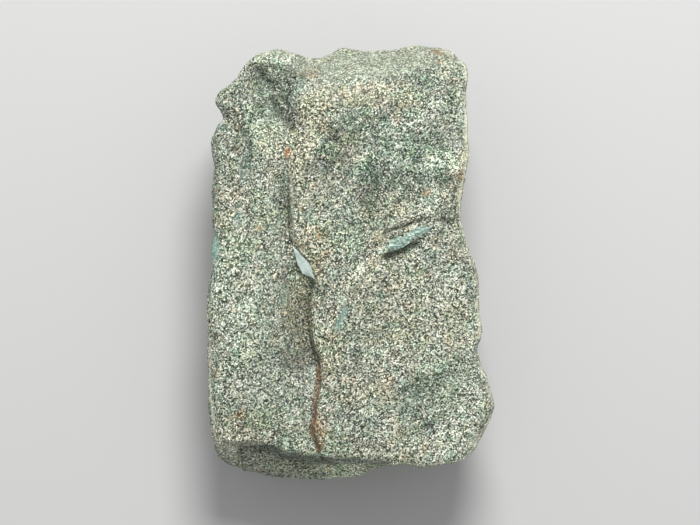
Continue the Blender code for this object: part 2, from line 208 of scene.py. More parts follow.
# Where each tint lies: over patches, and along lines.
TINT_PATCHES: dict[Tint, tuple[Patch, ...]] = {
    Tint.EMERALD: (
        Patch((10.0, 28.0), (16.0, 13.0), 0.0, 0.65),
        Patch((1.6, 36.4), (3.6, 2.4), 20.0, 0.9),
        Patch((-5.0, 29.0), (3.2, 5.5), -14.0, 1.0),
        Patch((-1.0, 23.0), (3.0, 2.4), 0.0, 0.7),
        Patch((5.4, 21.6), (3.2, 4.6), 10.0, 1.0),
        Patch((6.4, 15.6), (3.4, 2.8), 0.0, 0.8),
        Patch((18.2, 47.0), (3.4, 2.2), 0.0, 0.9),
        Patch((16.8, 28.4), (4.8, 2.8), -10.0, 0.9),
        Patch((22.6, 21.6), (4.2, 2.4), -20.0, 0.9),
        Patch((24.8, 41.2), (2.2, 3.4), 0.0, 0.8),
        Patch((12.6, 20.6), (3.0, 2.0), 0.0, 0.5),
        Patch((30.9, -7.5), (1.8, 2.6), 0.0, 0.9),
        Patch((20.0, -42.4), (2.2, 2.6), -10.0, 0.9),
        Patch((12.9, -33.6), (1.6, 1.4), 0.0, 0.8),
        Patch((24.0, -29.5), (7.0, 2.2), 28.0, 0.6),
        Patch((17.5, -35.0), (3.8, 5.4), -8.0, 0.6),
        Patch((-20.0, -36.0), (8.0, 9.0), 0.0, 0.3),
        Patch((-19.0, 42.0), (7.0, 8.0), 20.0, 0.5),
        Patch((-28.0, 28.0), (4.0, 7.0), 0.0, 0.4),
        Patch((-17.0, -9.0), (1.6, 3.0), 0.0, 0.4),
    ),
    Tint.BEIGE: (
        Patch((4.0, 42.5), (9.0, 3.2), 0.0, 0.9),
        Patch((-8.6, 38.0), (4.6, 7.0), 0.0, 0.8),
        Patch((7.8, 6.7), (2.2, 1.5), 20.0, 1.0),
        Patch((6.5, 0.0), (2.2, 1.2), 30.0, 1.0),
        Patch((9.4, -33.0), (3.0, 4.0), 0.0, 0.9),
        Patch((-7.0, -43.4), (1.9, 4.0), 0.0, 1.0),
        Patch((-11.8, -8.0), (1.8, 5.0), 0.0, 1.0),
        Patch((12.0, 37.4), (1.6, 2.4), 0.0, 0.8),
        Patch((7.8, 41.6), (2.0, 1.2), 0.0, 0.8),
        Patch((-13.0, -14.0), (4.4, 11.0), 6.0, 0.8),
        Patch((-9.0, 2.0), (5.0, 8.0), 0.0, 0.8),
        Patch((-5.0, -24.0), (4.0, 8.0), 0.0, 0.8),
        Patch((-2.0, 30.0), (5.0, 6.0), 0.0, 0.6),
        Patch((-12.0, 28.0), (3.6, 9.0), 0.0, 0.7),
        Patch((14.0, 41.6), (4.0, 3.4), 0.0, 0.8),
        Patch((10.0, 13.6), (8.0, 5.0), 0.0, 0.6),
        Patch((-20.0, 31.0), (4.0, 4.0), 0.0, 0.5),
        Patch((27.0, -16.0), (5.0, 9.0), 0.0, 0.4),
        Patch((28.0, 5.0), (3.4, 6.0), 0.0, 0.5),
        Patch((27.6, 24.0), (2.0, 3.0), 0.0, 0.5),
        Patch((14.0, -19.0), (8.0, 6.0), 0.0, 0.4),
        Patch((-10.5, 14.0), (4.0, 9.0), 0.0, 0.45),
        Patch((26.0, 18.0), (3.4, 3.0), 0.0, 0.6),
        Patch((-27.0, -43.0), (8.0, 5.0), 20.0, 0.6),
        Patch((0.0, -33.0), (7.0, 5.0), 0.0, 0.6),
        Patch((10.0, -10.0), (12.0, 10.0), 0.0, 0.4),
        Patch((-29.0, 14.0), (5.0, 9.0), 0.0, 0.35),
        Patch((10.0, -48.0), (12.0, 3.0), 0.0, 0.4),
        Patch((-12.0, -53.5), (20.0, 2.6), 0.0, 0.5),
    ),
    # Pale silvery mica, and painted light where the stone is brightened as if lit.
    Tint.FROST_AND_PAINTED_LIGHT: (
        Patch((22.6, 25.4), (5.6, 3.2), 10.0, 1.0),
        Patch((28.0, 25.4), (3.0, 3.4), 0.0, 0.8),
        Patch((28.0, 36.0), (2.4, 7.0), 0.0, 0.25),
        Patch((15.0, 42.6), (6.0, 4.0), 0.0, 0.25),
        Patch((3.0, 44.2), (7.0, 2.6), 0.0, 0.5),
        Patch((6.0, 34.4), (8.0, 3.0), 8.0, 0.25),
        Patch((-11.4, 41.6), (2.4, 3.0), 0.0, 0.35),
        Patch((26.4, -46.4), (4.0, 4.0), 0.0, 0.65),
        Patch((12.0, -21.0), (6.0, 5.0), 0.0, 0.15),
        Patch((14.0, -32.0), (3.0, 1.8), 0.0, 0.3),
        Patch((22.0, -27.2), (4.0, 1.8), 0.0, 0.4),
        Patch((28.0, -6.4), (3.0, 2.4), 0.0, 0.3),
        Patch((3.0, 4.2), (4.0, 2.0), 0.0, 0.3),
        Patch((5.4, -1.0), (5.0, 2.4), 45.0, 0.8),
        Patch((17.0, 12.6), (4.0, 2.2), 25.0, 0.4),
        Patch((22.4, 17.4), (2.4, 3.4), -20.0, 0.35),
        Patch((-8.4, 8.6), (3.0, 3.4), 0.0, 0.35),
        Patch((-27.0, -5.6), (6.0, 3.4), -15.0, 0.3),
        Patch((-20.4, -1.0), (2.4, 3.4), 0.0, 0.3),
        Patch((17.0, -4.4), (2.8, 5.0), 0.0, 0.3),
        Patch((24.6, -14.4), (5.0, 2.6), 0.0, 0.25),
        Patch((8.0, -25.6), (4.0, 3.0), -20.0, 0.3),
        Patch((2.6, 24.6), (2.2, 2.6), 0.0, 0.6),
        Patch((13.6, 26.6), (2.4, 3.6), 0.0, 0.35),
        Patch((24.0, 24.8), (2.6, 3.8), 0.0, 0.3),
        Patch((-7.6, 40.4), (3.0, 3.0), 0.0, 0.3),
        Patch((-14.0, 28.6), (2.4, 4.0), 0.0, 0.35),
        Patch((-21.0, -40.0), (2.4, 3.0), 0.0, 0.3),
        Patch((4.4, -36.6), (3.0, 3.0), 0.0, 0.3),
        Patch((-29.4, -27.0), (2.4, 3.0), 0.0, 0.3),
        Patch((-8.2, -18.0), (1.6, 4.0), 0.0, 0.35),
        Patch((-29.0, -19.0), (8.0, 11.0), 0.0, 0.22),
        Patch((-28.0, 0.0), (7.0, 4.0), 0.0, 0.15),
        Patch((-20.6, 25.6), (4.0, 4.4), 0.0, 0.35),
        Patch((-23.6, 16.0), (3.0, 2.4), 0.0, 0.35),
        Patch((-12.6, 9.0), (2.0, 4.0), 0.0, 0.2),
        Patch((-7.0, 30.0), (5.0, 3.0), 0.0, 0.3),
        Patch((-20.0, 48.6), (3.0, 2.0), 0.0, 0.4),
        Patch((8.0, 2.4), (3.6, 2.2), 30.0, 0.6),
        Patch((-33.4, -10.0), (2.4, 12.0), 0.0, 0.3),
        Patch((30.0, -16.0), (4.0, 8.0), 0.0, 0.2),
        Patch((28.0, -27.0), (4.0, 2.6), 0.0, 0.25),
        Patch((4.0, -34.0), (4.0, 3.0), 0.0, 0.2),
        Patch((27.0, -49.0), (6.0, 2.2), 12.0, 0.45),
        Patch((-32.0, -48.6), (3.0, 2.2), 0.0, 0.8),
        Patch((-2.0, -54.0), (8.0, 1.8), 0.0, 1.0),
        Patch((22.3, 40.6), (2.4, 2.0), 0.0, 0.5),
        Patch((17.1, 36.8), (2.6, 1.6), 20.0, 0.5),
        Patch((4.6, 28.0), (1.6, 3.0), 20.0, 0.5),
        Patch((-21.0, 32.5), (4.0, 4.0), 20.0, 0.3),
        Patch((-27.5, -12.0), (4.0, 7.0), 0.0, 0.3),
        Patch((-20.0, 51.6), (5.0, 1.8), 0.0, 0.5),
        Patch((1.4, -3.4), (2.4, 1.6), -30.0, 0.5),
        Patch((30.0, -41.0), (4.0, 6.0), -20.0, 0.35),
        Patch((22.0, -20.0), (6.0, 2.4), 0.0, 0.3),
        Patch((26.0, -9.0), (5.0, 8.0), 0.0, 0.25),
    ),
    Tint.CRUST: (
        Patch((4.0, 50.2), (20.0, 3.6), 3.0, 0.8),
        Patch((-1.0, 43.6), (11.0, 3.4), 0.0, 0.55),
        Patch((18.0, 53.6), (9.0, 1.8), 0.0, 0.6),
        Patch((-18.0, 53.4), (8.0, 1.6), 0.0, 0.5),
        Patch((6.5, 0.0), (1.7, 0.8), 32.0, 1.0),
        Patch((7.8, 6.7), (1.5, 0.9), 20.0, 1.0),
        Patch((32.0, -46.0), (4.4, 1.6), 38.0, 0.6),
    ),
    Tint.TEAL: (
        Patch((-34.6, 3.0), (1.0, 3.6), 0.0, 1.0),
        Patch((-28.8, 11.4), (0.9, 3.6), -4.0, 0.35),
        Patch((-33.0, 34.8), (0.8, 1.4), 0.0, 0.35),
        Patch((-13.0, 45.4), (1.2, 2.2), 0.0, 0.25),
        Patch((-17.0, -9.0), (1.2, 3.0), 0.0, 0.25),
        Patch((-10.2, -28.0), (1.0, 2.2), 0.0, 0.25),
        Patch((-27.0, 23.0), (2.0, 4.0), 10.0, 0.2),
        Patch((-10.8, 12.4), (1.6, 2.4), 0.0, 0.2),
    ),
    Tint.RUST: (
        Patch((-15.9, 27.8), (0.8, 1.3), 0.0, 1.0),
        Patch((-8.0, 7.2), (0.45, 2.3), 12.0, 0.6),
        Patch((-12.5, 13.5), (0.7, 0.8), 0.0, 0.5),
        Patch((-23.0, 8.5), (1.0, 0.8), 0.0, 0.4),
        Patch((-28.5, 28.5), (1.4, 1.0), 0.0, 0.3),
        Patch((-28.2, -39.4), (1.3, 1.1), -20.0, 0.3),
        Patch((19.8, 17.5), (1.1, 0.8), 20.0, 0.6),
        Patch((28.3, 21.8), (0.8, 1.3), 0.0, 0.6),
        Patch((22.8, 53.4), (1.8, 0.9), -20.0, 0.4),
        Patch((23.4, 50.8), (0.6, 0.5), 0.0, 0.5),
        Patch((29.4, 26.6), (0.6, 2.4), 0.0, 0.3),
        Patch((-7.9, -42.9), (1.2, 2.8), 0.0, 0.3),
        Patch((-7.6, -47.4), (1.4, 1.4), 0.0, 0.3),
        Patch((-5.3, -53.9), (0.5, 1.0), 0.0, 0.5),
        Patch((-7.7, -1.8), (0.45, 2.6), 0.0, 0.3),
        Patch((-34.0, -29.0), (0.8, 1.4), 0.0, 0.3),
        Patch((-10.0, 48.2), (1.8, 1.2), 0.0, 0.3),
    ),
    # Painted shade over the valley by the cliff, the hollows and other places in shadow; a few patches are
    # real dark brown spots.
    Tint.PAINTED_SHADE_AND_DARK_SPOTS: (
        Patch((-12.6, -18.0), (3.4, 7.0), 4.0, 0.5),
        Patch((-11.8, -9.0), (1.9, 5.0), 0.0, 0.4),
        Patch((-14.0, -25.0), (6.0, 4.0), -30.0, 0.6),
        Patch((-11.8, -24.4), (3.0, 4.6), 0.0, 0.8),
        Patch((-13.0, -14.0), (2.4, 3.4), 0.0, 0.6),
        Patch((-16.0, -5.0), (2.0, 3.0), 0.0, 0.25),
        Patch((-4.4, -31.0), (2.4, 3.4), 0.0, 0.25),
        Patch((-22.0, -38.0), (6.0, 3.0), 0.0, 0.15),
        Patch((-12.6, 47.4), (2.0, 2.4), 0.0, 0.3),
        Patch((-1.0, 27.8), (2.0, 2.0), 0.0, 0.4),
        Patch((24.0, 33.0), (4.4, 3.0), 0.0, 0.3),
        Patch((17.6, 44.4), (2.6, 1.8), 0.0, 0.4),
        Patch((-29.4, 38.0), (2.4, 4.0), 0.0, 0.25),
        Patch((-31.0, -33.0), (3.0, 4.0), 0.0, 0.15),
        Patch((-24.0, -29.0), (5.0, 3.0), 0.0, 0.15),
        Patch((24.0, -33.0), (4.6, 2.6), 20.0, 0.25),
        Patch((4.0, 7.8), (4.0, 3.0), 0.0, 0.35),
        Patch((-25.4, -2.0), (2.0, 3.0), 0.0, 0.2),
        Patch((-4.0, -13.0), (3.0, 3.0), 0.0, 0.15),
        Patch((5.6, 27.4), (1.6, 2.4), 0.0, 0.25),
        Patch((-24.0, 23.0), (4.0, 4.0), 0.0, 0.12),
        Patch((-28.6, 32.0), (3.0, 5.0), 0.0, 0.25),
        Patch((4.0, 51.4), (18.0, 2.4), 3.0, 0.14),
        Patch((20.0, 43.4), (3.0, 2.0), 0.0, 0.2),
        Patch((18.0, 25.0), (2.0, 2.0), 0.0, 0.25),
        Patch((-8.6, 23.0), (2.6, 2.0), 0.0, 0.25),
        Patch((22.8, 53.4), (1.8, 0.9), -20.0, 0.4),
        Patch((28.3, 21.8), (0.7, 1.2), 0.0, 0.4),
        Patch((-10.2, 48.2), (1.8, 1.6), 0.0, 0.4),
        Patch((20.6, -41.8), (0.9, 0.8), 0.0, 0.7),
        Patch((-9.6, -24.6), (2.2, 3.0), 0.0, 0.5),
        Patch((24.8, 10.6), (1.5, 0.8), -20.0, 1.0),
        Patch((-17.2, 17.0), (1.1, 3.6), 0.0, 0.4),
        Patch((-17.4, 42.6), (1.9, 5.0), 28.0, 0.45),
        Patch((-15.6, 36.6), (2.4, 4.0), 28.0, 0.35),
        Patch((-25.0, 45.0), (4.4, 3.4), 30.0, 0.2),
        Patch((-23.8, 49.2), (1.6, 1.2), 0.0, 0.5),
        Patch((4.6, -16.0), (5.4, 3.0), 0.0, 0.3),
        Patch((-3.6, 33.0), (2.6, 3.6), 0.0, 0.35),
        Patch((-7.8, 24.0), (3.4, 2.8), 0.0, 0.45),
        Patch((4.4, 17.6), (2.6, 4.0), 20.0, 0.45),
        Patch((28.0, 33.3), (0.7, 0.8), 0.0, 0.7),
    ),
    Tint.SAGE: (
        Patch((-24.6, -22.0), (6.0, 5.0), 0.0, 0.5),
        Patch((-28.6, 3.0), (3.4, 5.0), 0.0, 1.0),
        Patch((17.0, 27.0), (6.0, 4.0), 0.0, 0.4),
        Patch((26.6, 46.0), (3.4, 4.0), 0.0, 0.3),
        Patch((0.0, 5.6), (3.6, 5.0), 0.0, 0.8),
        Patch((-10.0, -47.0), (9.0, 4.0), 0.0, 0.7),
        Patch((-24.4, -41.0), (4.0, 3.0), 0.0, 0.8),
        Patch((23.4, -34.0), (5.0, 3.4), 0.0, 0.9),
        Patch((14.4, -46.0), (5.0, 3.0), 0.0, 0.4),
        Patch((-24.6, 35.0), (3.0, 4.4), 0.0, 0.7),
        Patch((13.0, 2.6), (3.4, 2.0), 0.0, 0.6),
        Patch((-21.0, 11.0), (4.0, 4.0), 0.0, 0.6),
        Patch((-6.6, 7.4), (3.0, 3.0), 0.0, 0.6),
        Patch((-10.0, -54.0), (14.0, 2.4), 0.0, 0.6),
    ),
}

TINT_SEAMS: dict[Tint, tuple[Seam, ...]] = {
    Tint.RUST: (
        Seam(CRACK.points[1:], width=0.42, strength=0.9),
        Seam(((-9.3, -42.8), (-7.5, -41.0)), width=0.3, strength=0.6),
        Seam(((-9.4, -44.4), (-7.3, -42.6)), width=0.3, strength=0.6),
        Seam(((-9.0, -46.2), (-7.1, -44.4)), width=0.3, strength=0.6),
        Seam(((-8.6, -48.6), (-6.8, -47.0)), width=0.35, strength=0.6),
    ),
    # The pale lip, partly a painted highlight along the edges that catch the light.
    Tint.LIP_AND_HIGHLIGHT: (
        Seam(EAST_RIM, width=0.42, strength=0.95),
        Seam(CORNER_RIM, width=0.36, strength=0.6),
        Seam(SOUTH_LIP, width=0.4, strength=0.75),
        Seam(WEST_RIM, width=0.3, strength=0.6),
        Seam(((-14.8, 22.0), (-14.7, 12.0), (-14.4, 6.0)), width=0.4, strength=0.5),
    ),
    Tint.TEAL: (Seam(((-3.2, -17.0), (-2.0, -14.4), (-0.9, -12.0)), width=0.7, strength=0.8),),
    # Painted shade along the cracks, the hollow under the ledge, the foot of the cliff and the band below
    # the south edge.
    Tint.PAINTED_SHADE_AND_DARK_SPOTS: (
        Seam(STRIP_CRACK.points, width=0.42, strength=0.9),
        Seam(LEDGE_HOLLOW.points, width=0.85, strength=0.6),
        Seam(LEDGE_FOOT.points, width=0.4, strength=0.2),
        Seam(((-17.0, 21.5), (-17.0, 6.0)), width=1.2, strength=0.35),
        Seam(CLIFF_NORTH.points, width=0.35, strength=0.6),
        Seam(CLIFF_SOUTH.points, width=0.35, strength=0.85),
        Seam(shifted(CLIFF_SOUTH.points, x=-0.8), width=0.9, strength=0.5),
        Seam(CRACK.points, width=0.5, strength=0.6),
        Seam(shifted(CRACK.points, x=-0.5), width=0.26, strength=0.85),
        Seam(shifted(SOUTH_EDGE[1:], y=-1.9), width=0.9, strength=0.65),
        *CORNER_CRACKS,
    ),
    # Painted light along the ledge's rim and on the south edge and lip.
    Tint.FROST_AND_PAINTED_LIGHT: (
        Seam(LEDGE_RIM, width=1.0, strength=0.35),
        Seam(SOUTH_EDGE, width=0.45, strength=0.3),
        Seam(SOUTH_LIP, width=1.6, strength=0.5),
    ),
}

# The tints belong to the top: they begin at the first height and are whole above the second.
TINT_FOOT = 21.0
TINT_TOP = 27.0


def smooth_step(values: np.ndarray, low: float, high: float) -> np.ndarray:
    """Turns values into shares that go evenly from 0 at low to 1 at high.

    Args:
        values: The values.
        low: The value that gives 0.
        high: The value that gives 1; it may be less than low.

    Returns:
        One share a value.
    """
    share = np.clip((values - low) / (high - low), 0.0, 1.0)
    return share * share * (3.0 - 2.0 * share)


def wander(points: np.ndarray, size: float, layer: float = 0.0) -> np.ndarray:
    """Even noise over points, from about -1 to 1.

    Args:
        points: Places in millimetres, one a row.
        size: About how wide a lump of the noise is.
        layer: Moves the noise, so that two uses of it differ.

    Returns:
        One value a point.
    """
    scaled = points / size + layer
    return np.array([noise.noise(Vector(point)) for point in scaled])


def cell_heights(points: np.ndarray, size: float, layer: float = 0.0) -> tuple[np.ndarray, np.ndarray]:
    """Splits space into irregular cells.

    Args:
        points: Places in millimetres, one a row.
        size: About how wide a cell is.
        layer: Moves the cells, so that two uses of them differ.

    Returns:
        A value from 0 to 1 for each point's cell, and how far each point lies from its cell's border,
        as a share of the size.
    """
    heights = np.empty(len(points))
    borders = np.empty(len(points))
    for index, point in enumerate(points / size + layer):
        distances, centres = noise.voronoi(Vector(point))
        heights[index] = noise.cell(centres[0] * 17.0)
        borders[index] = math.sqrt(max(0.0, distances[1])) - math.sqrt(max(0.0, distances[0]))
    return heights, borders


def tint_values(points: np.ndarray, fray: np.ndarray, tint: Tint) -> np.ndarray:
    """How strong a tint is at each point.

    Args:
        points: Places in millimetres, one a row.
        fray: Noise that frays the patches' edges, one value a point.
        tint: The tint.

    Returns:
        One value from 0 to 1 a point.
    """
    plan = points[:, :2] + PLAN_CENTRE
    values = np.zeros(len(points))
    for patch in TINT_PATCHES.get(tint, ()):
        inside = smooth_step(patch.reach(plan) + fray, 1.45, 0.55)
        values = np.maximum(values, patch.strength * inside)
    for seam in TINT_SEAMS.get(tint, ()):
        inside = smooth_step(seam.distance(plan) / seam.width + fray, 1.5, 0.5)
        values = np.maximum(values, seam.strength * inside)
    return values * smooth_step(points[:, 2] + 5.0 * fray, TINT_FOOT, TINT_TOP)


def tint_fray(points: np.ndarray) -> np.ndarray:
    """The noise that frays the edges of all tints, one value a point."""
    return 0.30 * wander(points, 2.2, 5.0) + 0.28 * wander(points, 0.9, 9.0)


def side_share(normals: np.ndarray) -> np.ndarray:
    """How far each normal points sideways, from 0 on the top and the underside to 1 on a wall."""
    return smooth_step(np.abs(normals[:, 2]), 0.8, 0.4)


def write_attribute(mesh: bpy.types.Mesh, name: str, values: np.ndarray) -> None:
    """Stores one number a vertex on a mesh.

    Args:
        mesh: The mesh.
        name: The attribute's name, as its materials read it.
        values: One value a vertex.
    """
    layer = mesh.attributes.new(name, "FLOAT", "POINT")
    layer.data.foreach_set("value", values.astype(np.float32))


def vertex_places(mesh: bpy.types.Mesh) -> np.ndarray:
    """The places of a mesh's vertices in millimetres, one a row."""
    places = np.empty(len(mesh.vertices) * 3, dtype=np.float32)
    mesh.vertices.foreach_get("co", places)
    return places.reshape(-1, 3).astype(float) / MM


def vertex_normals(mesh: bpy.types.Mesh) -> np.ndarray:
    """The normals of a mesh's vertices, one a row."""
    normals = np.empty(len(mesh.vertices) * 3, dtype=np.float32)
    mesh.vertex_normals.foreach_get("vector", normals)
    return normals.reshape(-1, 3).astype(float)


def move_vertices(mesh: bpy.types.Mesh, places: np.ndarray) -> None:
    """Puts a mesh's vertices at places in millimetres.

    Args:
        mesh: The mesh.
        places: One place a row.
    """
    mesh.vertices.foreach_set("co", (places * MM).astype(np.float32).ravel())
    mesh.update()


def mesh_from(form: bmesh.types.BMesh, name: str) -> bpy.types.Mesh:
    """Writes a form to a new mesh and frees the form.

    Args:
        form: The form.
        name: The mesh's name.

    Returns:
        The mesh.
    """
    mesh = bpy.data.meshes.new(name)
    form.to_mesh(mesh)
    form.free()
    return mesh


def add_object(name: str, mesh: bpy.types.Mesh, material: bpy.types.Material) -> bpy.types.Object:
    """Puts a mesh in the scene as a dressed object.

    Args:
        name: The object's name.
        mesh: Its mesh.
        material: Its one material.

    Returns:
        The new object.
    """
    mesh.materials.clear()
    mesh.materials.append(material)
    thing = bpy.data.objects.new(name, mesh)
    bpy.context.scene.collection.objects.link(thing)
    return thing


class NodePen:
    """Writes nodes into one node tree and joins them."""

    def __init__(self, tree: bpy.types.NodeTree) -> None:
        """Starts with the tree to write in.

        Args:
            tree: A material's or a group's node tree.
        """
        self.tree = tree

    def add(self, kind: str, **settings: object) -> bpy.types.Node:
        """Adds a node.

        Args:
            kind: The node's type, without its leading ShaderNode.
            settings: Properties of the node.

        Returns:
            The new node.
        """
        node = self.tree.nodes.new("ShaderNode" + kind)
        for name, value in settings.items():
            setattr(node, name, value)
        return node

    def feed(self, socket: Socket, source: object) -> None:
        """Gives a socket its value.

        Args:
            socket: The socket to feed.
            source: Another node's output, or a plain value.
        """
        if isinstance(source, Socket):
            self.tree.links.new(source, socket)
        else:
            socket.default_value = source

    def math(self, operation: str, *sources: object) -> Socket:
        """Adds a Math node.

        Args:
            operation: What it works out.
            sources: Its inputs, as outputs or numbers.

        Returns:
            Its output.
        """
        node = self.add("Math", operation=operation)
        for socket, source in zip(node.inputs, sources):
            self.feed(socket, source)
        return node.outputs[0]

    def vector_math(self, operation: str, *sources: object) -> Socket:
        """Adds a Vector Math node.

        Args:
            operation: What it works out.
            sources: Its inputs, as outputs or vectors.

        Returns:
            Its vector output.
        """
        node = self.add("VectorMath", operation=operation)
        for socket, source in zip(node.inputs, sources):
            self.feed(socket, source)
        return node.outputs["Vector"]

    def scaled(self, vector: Socket, factor: object) -> Socket:
        """A vector or a colour times a number.

        Args:
            vector: The vector.
            factor: An output or a number.

        Returns:
            The scaled vector.
        """
        node = self.add("VectorMath", operation="SCALE")
        self.feed(node.inputs[0], vector)
        self.feed(node.inputs["Scale"], factor)
        return node.outputs["Vector"]

    def blend(self, share: object, first: object, second: object, way: str = "MIX") -> Socket:
        """Adds a colour Mix node.

        Args:
            share: How much of the second colour shows.
            first: An output or a colour.
            second: An output or a colour.
            way: The blend type.

        Returns:
            The mixed colour.
        """
        node = self.add("Mix", data_type="RGBA", blend_type=way)
        self.feed(node.inputs[0], share)
        for socket, source in ((node.inputs[6], first), (node.inputs[7], second)):
            self.feed(socket, (*source, 1.0) if isinstance(source, tuple) else source)
        return node.outputs[2]

    def ramp(self, share: Socket, stops: Stops) -> Socket:
        """Adds a Color Ramp node.

        Args:
            share: Where on the ramp the colour is read.
            stops: Places from 0 to 1, each with its colour.

        Returns:
            The colour.
        """
        node = self.add("ValToRGB")
        stop_list = node.color_ramp.elements
        while len(stop_list) < len(stops):
            stop_list.new(1.0)
        for stop, (place, colour) in zip(stop_list, stops):
            stop.position = place
            stop.color = (*colour, 1.0)
        self.feed(node.inputs["Fac"], share)
        return node.outputs["Color"]

    def attribute(self, name: str) -> Socket:
        """The value of a number stored on the mesh."""
        return self.add("Attribute", attribute_name=name).outputs["Fac"]

    def object_place(self) -> Socket:
        """The place on the object, in metres."""
        return self.add("TexCoord").outputs["Object"]

    def noise(self, vector: Socket, size: float, detail: float = 2.0) -> bpy.types.Node:
        """Adds a Noise Texture node.

        Args:
            vector: Where it is read.
            size: About how wide its lumps are, in millimetres.
            detail: How many finer layers it has.

        Returns:
            The node.
        """
        node = self.add("TexNoise")
        self.feed(node.inputs["Vector"], vector)
        self.feed(node.inputs["Scale"], 1.0 / (size * MM))
        self.feed(node.inputs["Detail"], detail)
        return node

    def remapped(self, value: Socket, low: float, high: float) -> Socket:
        """A value as a smooth share from low to high.

        Args:
            value: The value.
            low: What gives 0.
            high: What gives 1.

        Returns:
            The share.
        """
        node = self.add("MapRange", interpolation_type="SMOOTHSTEP")
        self.feed(node.inputs["Value"], value)
        self.feed(node.inputs["From Min"], low)
        self.feed(node.inputs["From Max"], high)
        return node.outputs["Result"]

    def patches(self, vector: Socket, size: float, low: float, high: float, detail: float = 3.0) -> Socket:
        """Soft patches of noise, as a share from 0 to 1.

        Args:
            vector: Where the noise is read.
            size: About how wide a patch is, in millimetres.
            low: The noise that gives 0.
            high: The noise that gives 1.
            detail: How many finer layers the noise has.

        Returns:
            The share.
        """
        return self.remapped(self.noise(vector, size, detail).outputs["Fac"], low, high)


def new_material(name: str) -> tuple[bpy.types.Material, NodePen, bpy.types.Node]:
    """Starts a node material.

    Args:
        name: The material's name.

    Returns:
        The material, a pen for its nodes, and its Principled BSDF.
    """
    material = bpy.data.materials.new(name)
    material.use_nodes = True
    return material, NodePen(material.node_tree), material.node_tree.nodes["Principled BSDF"]


def new_group(name: str, inputs: dict[str, object], outputs: dict[str, str]) -> bpy.types.NodeTree:
    """Starts a shader node group.

    Args:
        name: The group's name.
        inputs: The name of each input with its plain value, or with None for a colour.
        outputs: The name of each output with its kind: Float, Vector or Color.

    Returns:
        The group.
    """
    group = bpy.data.node_groups.new(name, "ShaderNodeTree")
    for label, value in inputs.items():
        kind = "NodeSocketColor" if value is None else "NodeSocketFloat"
        socket = group.interface.new_socket(label, in_out="INPUT", socket_type=kind)
        if value is not None:
            socket.default_value = value
    for label, kind in outputs.items():
        group.interface.new_socket(label, in_out="OUTPUT", socket_type="NodeSocket" + kind)
    return group


# The grains lie flat: their pattern is finer from bed to bed than along the beds.
GRAIN_STRETCH = (1.0, 1.0, 1.9)


def mica_grain_group() -> bpy.types.NodeTree:
    """A group that splits the rock into mica grains lying flat in its beds.

    Returns:
        The group. It gives each grain two random values and a tilted normal, and marks the gaps.
    """
    name = "mica_grain"
    if name in bpy.data.node_groups:
        return bpy.data.node_groups[name]
    outputs = {"Tone": "Float", "Hue": "Float", "Gap": "Float", "Normal": "Vector"}
    group = new_group(name, {"Grain Size": 0.6, "Tilt": 0.5}, outputs)
    pen = NodePen(group)
    inlet = group.nodes.new("NodeGroupInput")
    outlet = group.nodes.new("NodeGroupOutput")

    per_metre = pen.math("DIVIDE", 1.0 / MM, inlet.outputs["Grain Size"])
    place = pen.object_place()
    flattened = pen.vector_math("MULTIPLY", place, GRAIN_STRETCH)
    frayed = pen.noise(place, 0.8)
    shift = pen.scaled(pen.vector_math("SUBTRACT", frayed.outputs["Color"], (0.5, 0.5, 0.5)), 1.2)
    spot = pen.vector_math("ADD", pen.scaled(flattened, per_metre), shift)
    grains = pen.add("TexVoronoi", feature="F1")
    pen.feed(grains.inputs["Vector"], spot)
    pen.feed(grains.inputs["Scale"], 1.0)
    borders = pen.add("TexVoronoi", feature="DISTANCE_TO_EDGE")
    pen.feed(borders.inputs["Vector"], spot)
    pen.feed(borders.inputs["Scale"], 1.0)
    parts = pen.add("SeparateColor")
    pen.feed(parts.inputs["Color"], grains.outputs["Color"])

    lean = pen.vector_math("SUBTRACT", grains.outputs["Color"], (0.5, 0.5, 0.5))
    normal = pen.add("NewGeometry").outputs["Normal"]
    tilted = pen.vector_math("ADD", normal, pen.scaled(lean, inlet.outputs["Tilt"]))
    pen.feed(outlet.inputs["Tone"], parts.outputs["Red"])
    pen.feed(outlet.inputs["Hue"], parts.outputs["Green"])
    pen.feed(outlet.inputs["Gap"], pen.remapped(borders.outputs["Distance"], 0.16, 0.02))
    pen.feed(outlet.inputs["Normal"], pen.vector_math("NORMALIZE", tilted))
    return group


@dataclass(frozen=True)
class Drift:
    """A soft change of colour that comes and goes through the rock."""

    size: float
    low: float
    high: float
    dye: Colour
    detail: float = 3.0
    share: float = 1.0

    def over(self, pen: NodePen, place: Socket, colour: Socket) -> Socket:
        """Lays the drift over a colour.

        Args:
            pen: The pen of the tree.
            place: Where the drift is read.
            colour: The colour beneath.

        Returns:
            The dyed colour.
        """
        amount = pen.patches(place, self.size, self.low, self.high, self.detail)
        return pen.blend(pen.math("MULTIPLY", amount, self.share), colour, self.dye, "MULTIPLY")


COOL_DRIFT = Drift(8.0, 0.36, 0.64, (0.93, 0.99, 0.95))
WARM_DRIFT = Drift(3.4, 0.50, 0.66, (1.05, 0.975, 0.88), detail=4.0, share=0.75)
BLUSH_DRIFT = Drift(1.9, 0.52, 0.68, (1.09, 0.98, 0.93))
LUSH_DRIFT = Drift(2.6, 0.50, 0.68, (0.85, 0.98, 0.94))

# How a pattern's place is stretched: streaks run along the stone, and beds lie level. The lush drift's
# place is moved, so that it differs from the emerald's.
STREAK_STRETCH = (1.0, 0.16, 1.0)
BED_STRETCH = (0.09, 0.09, 1.0)
LUSH_SHIFT = (0.3, 0.1, 0.2)

# What a tint multiplies the schist's colour by.
BEIGE_DYE = (1.10, 0.98, 0.87)
SAGE_DYE = (0.91, 1.02, 0.93)
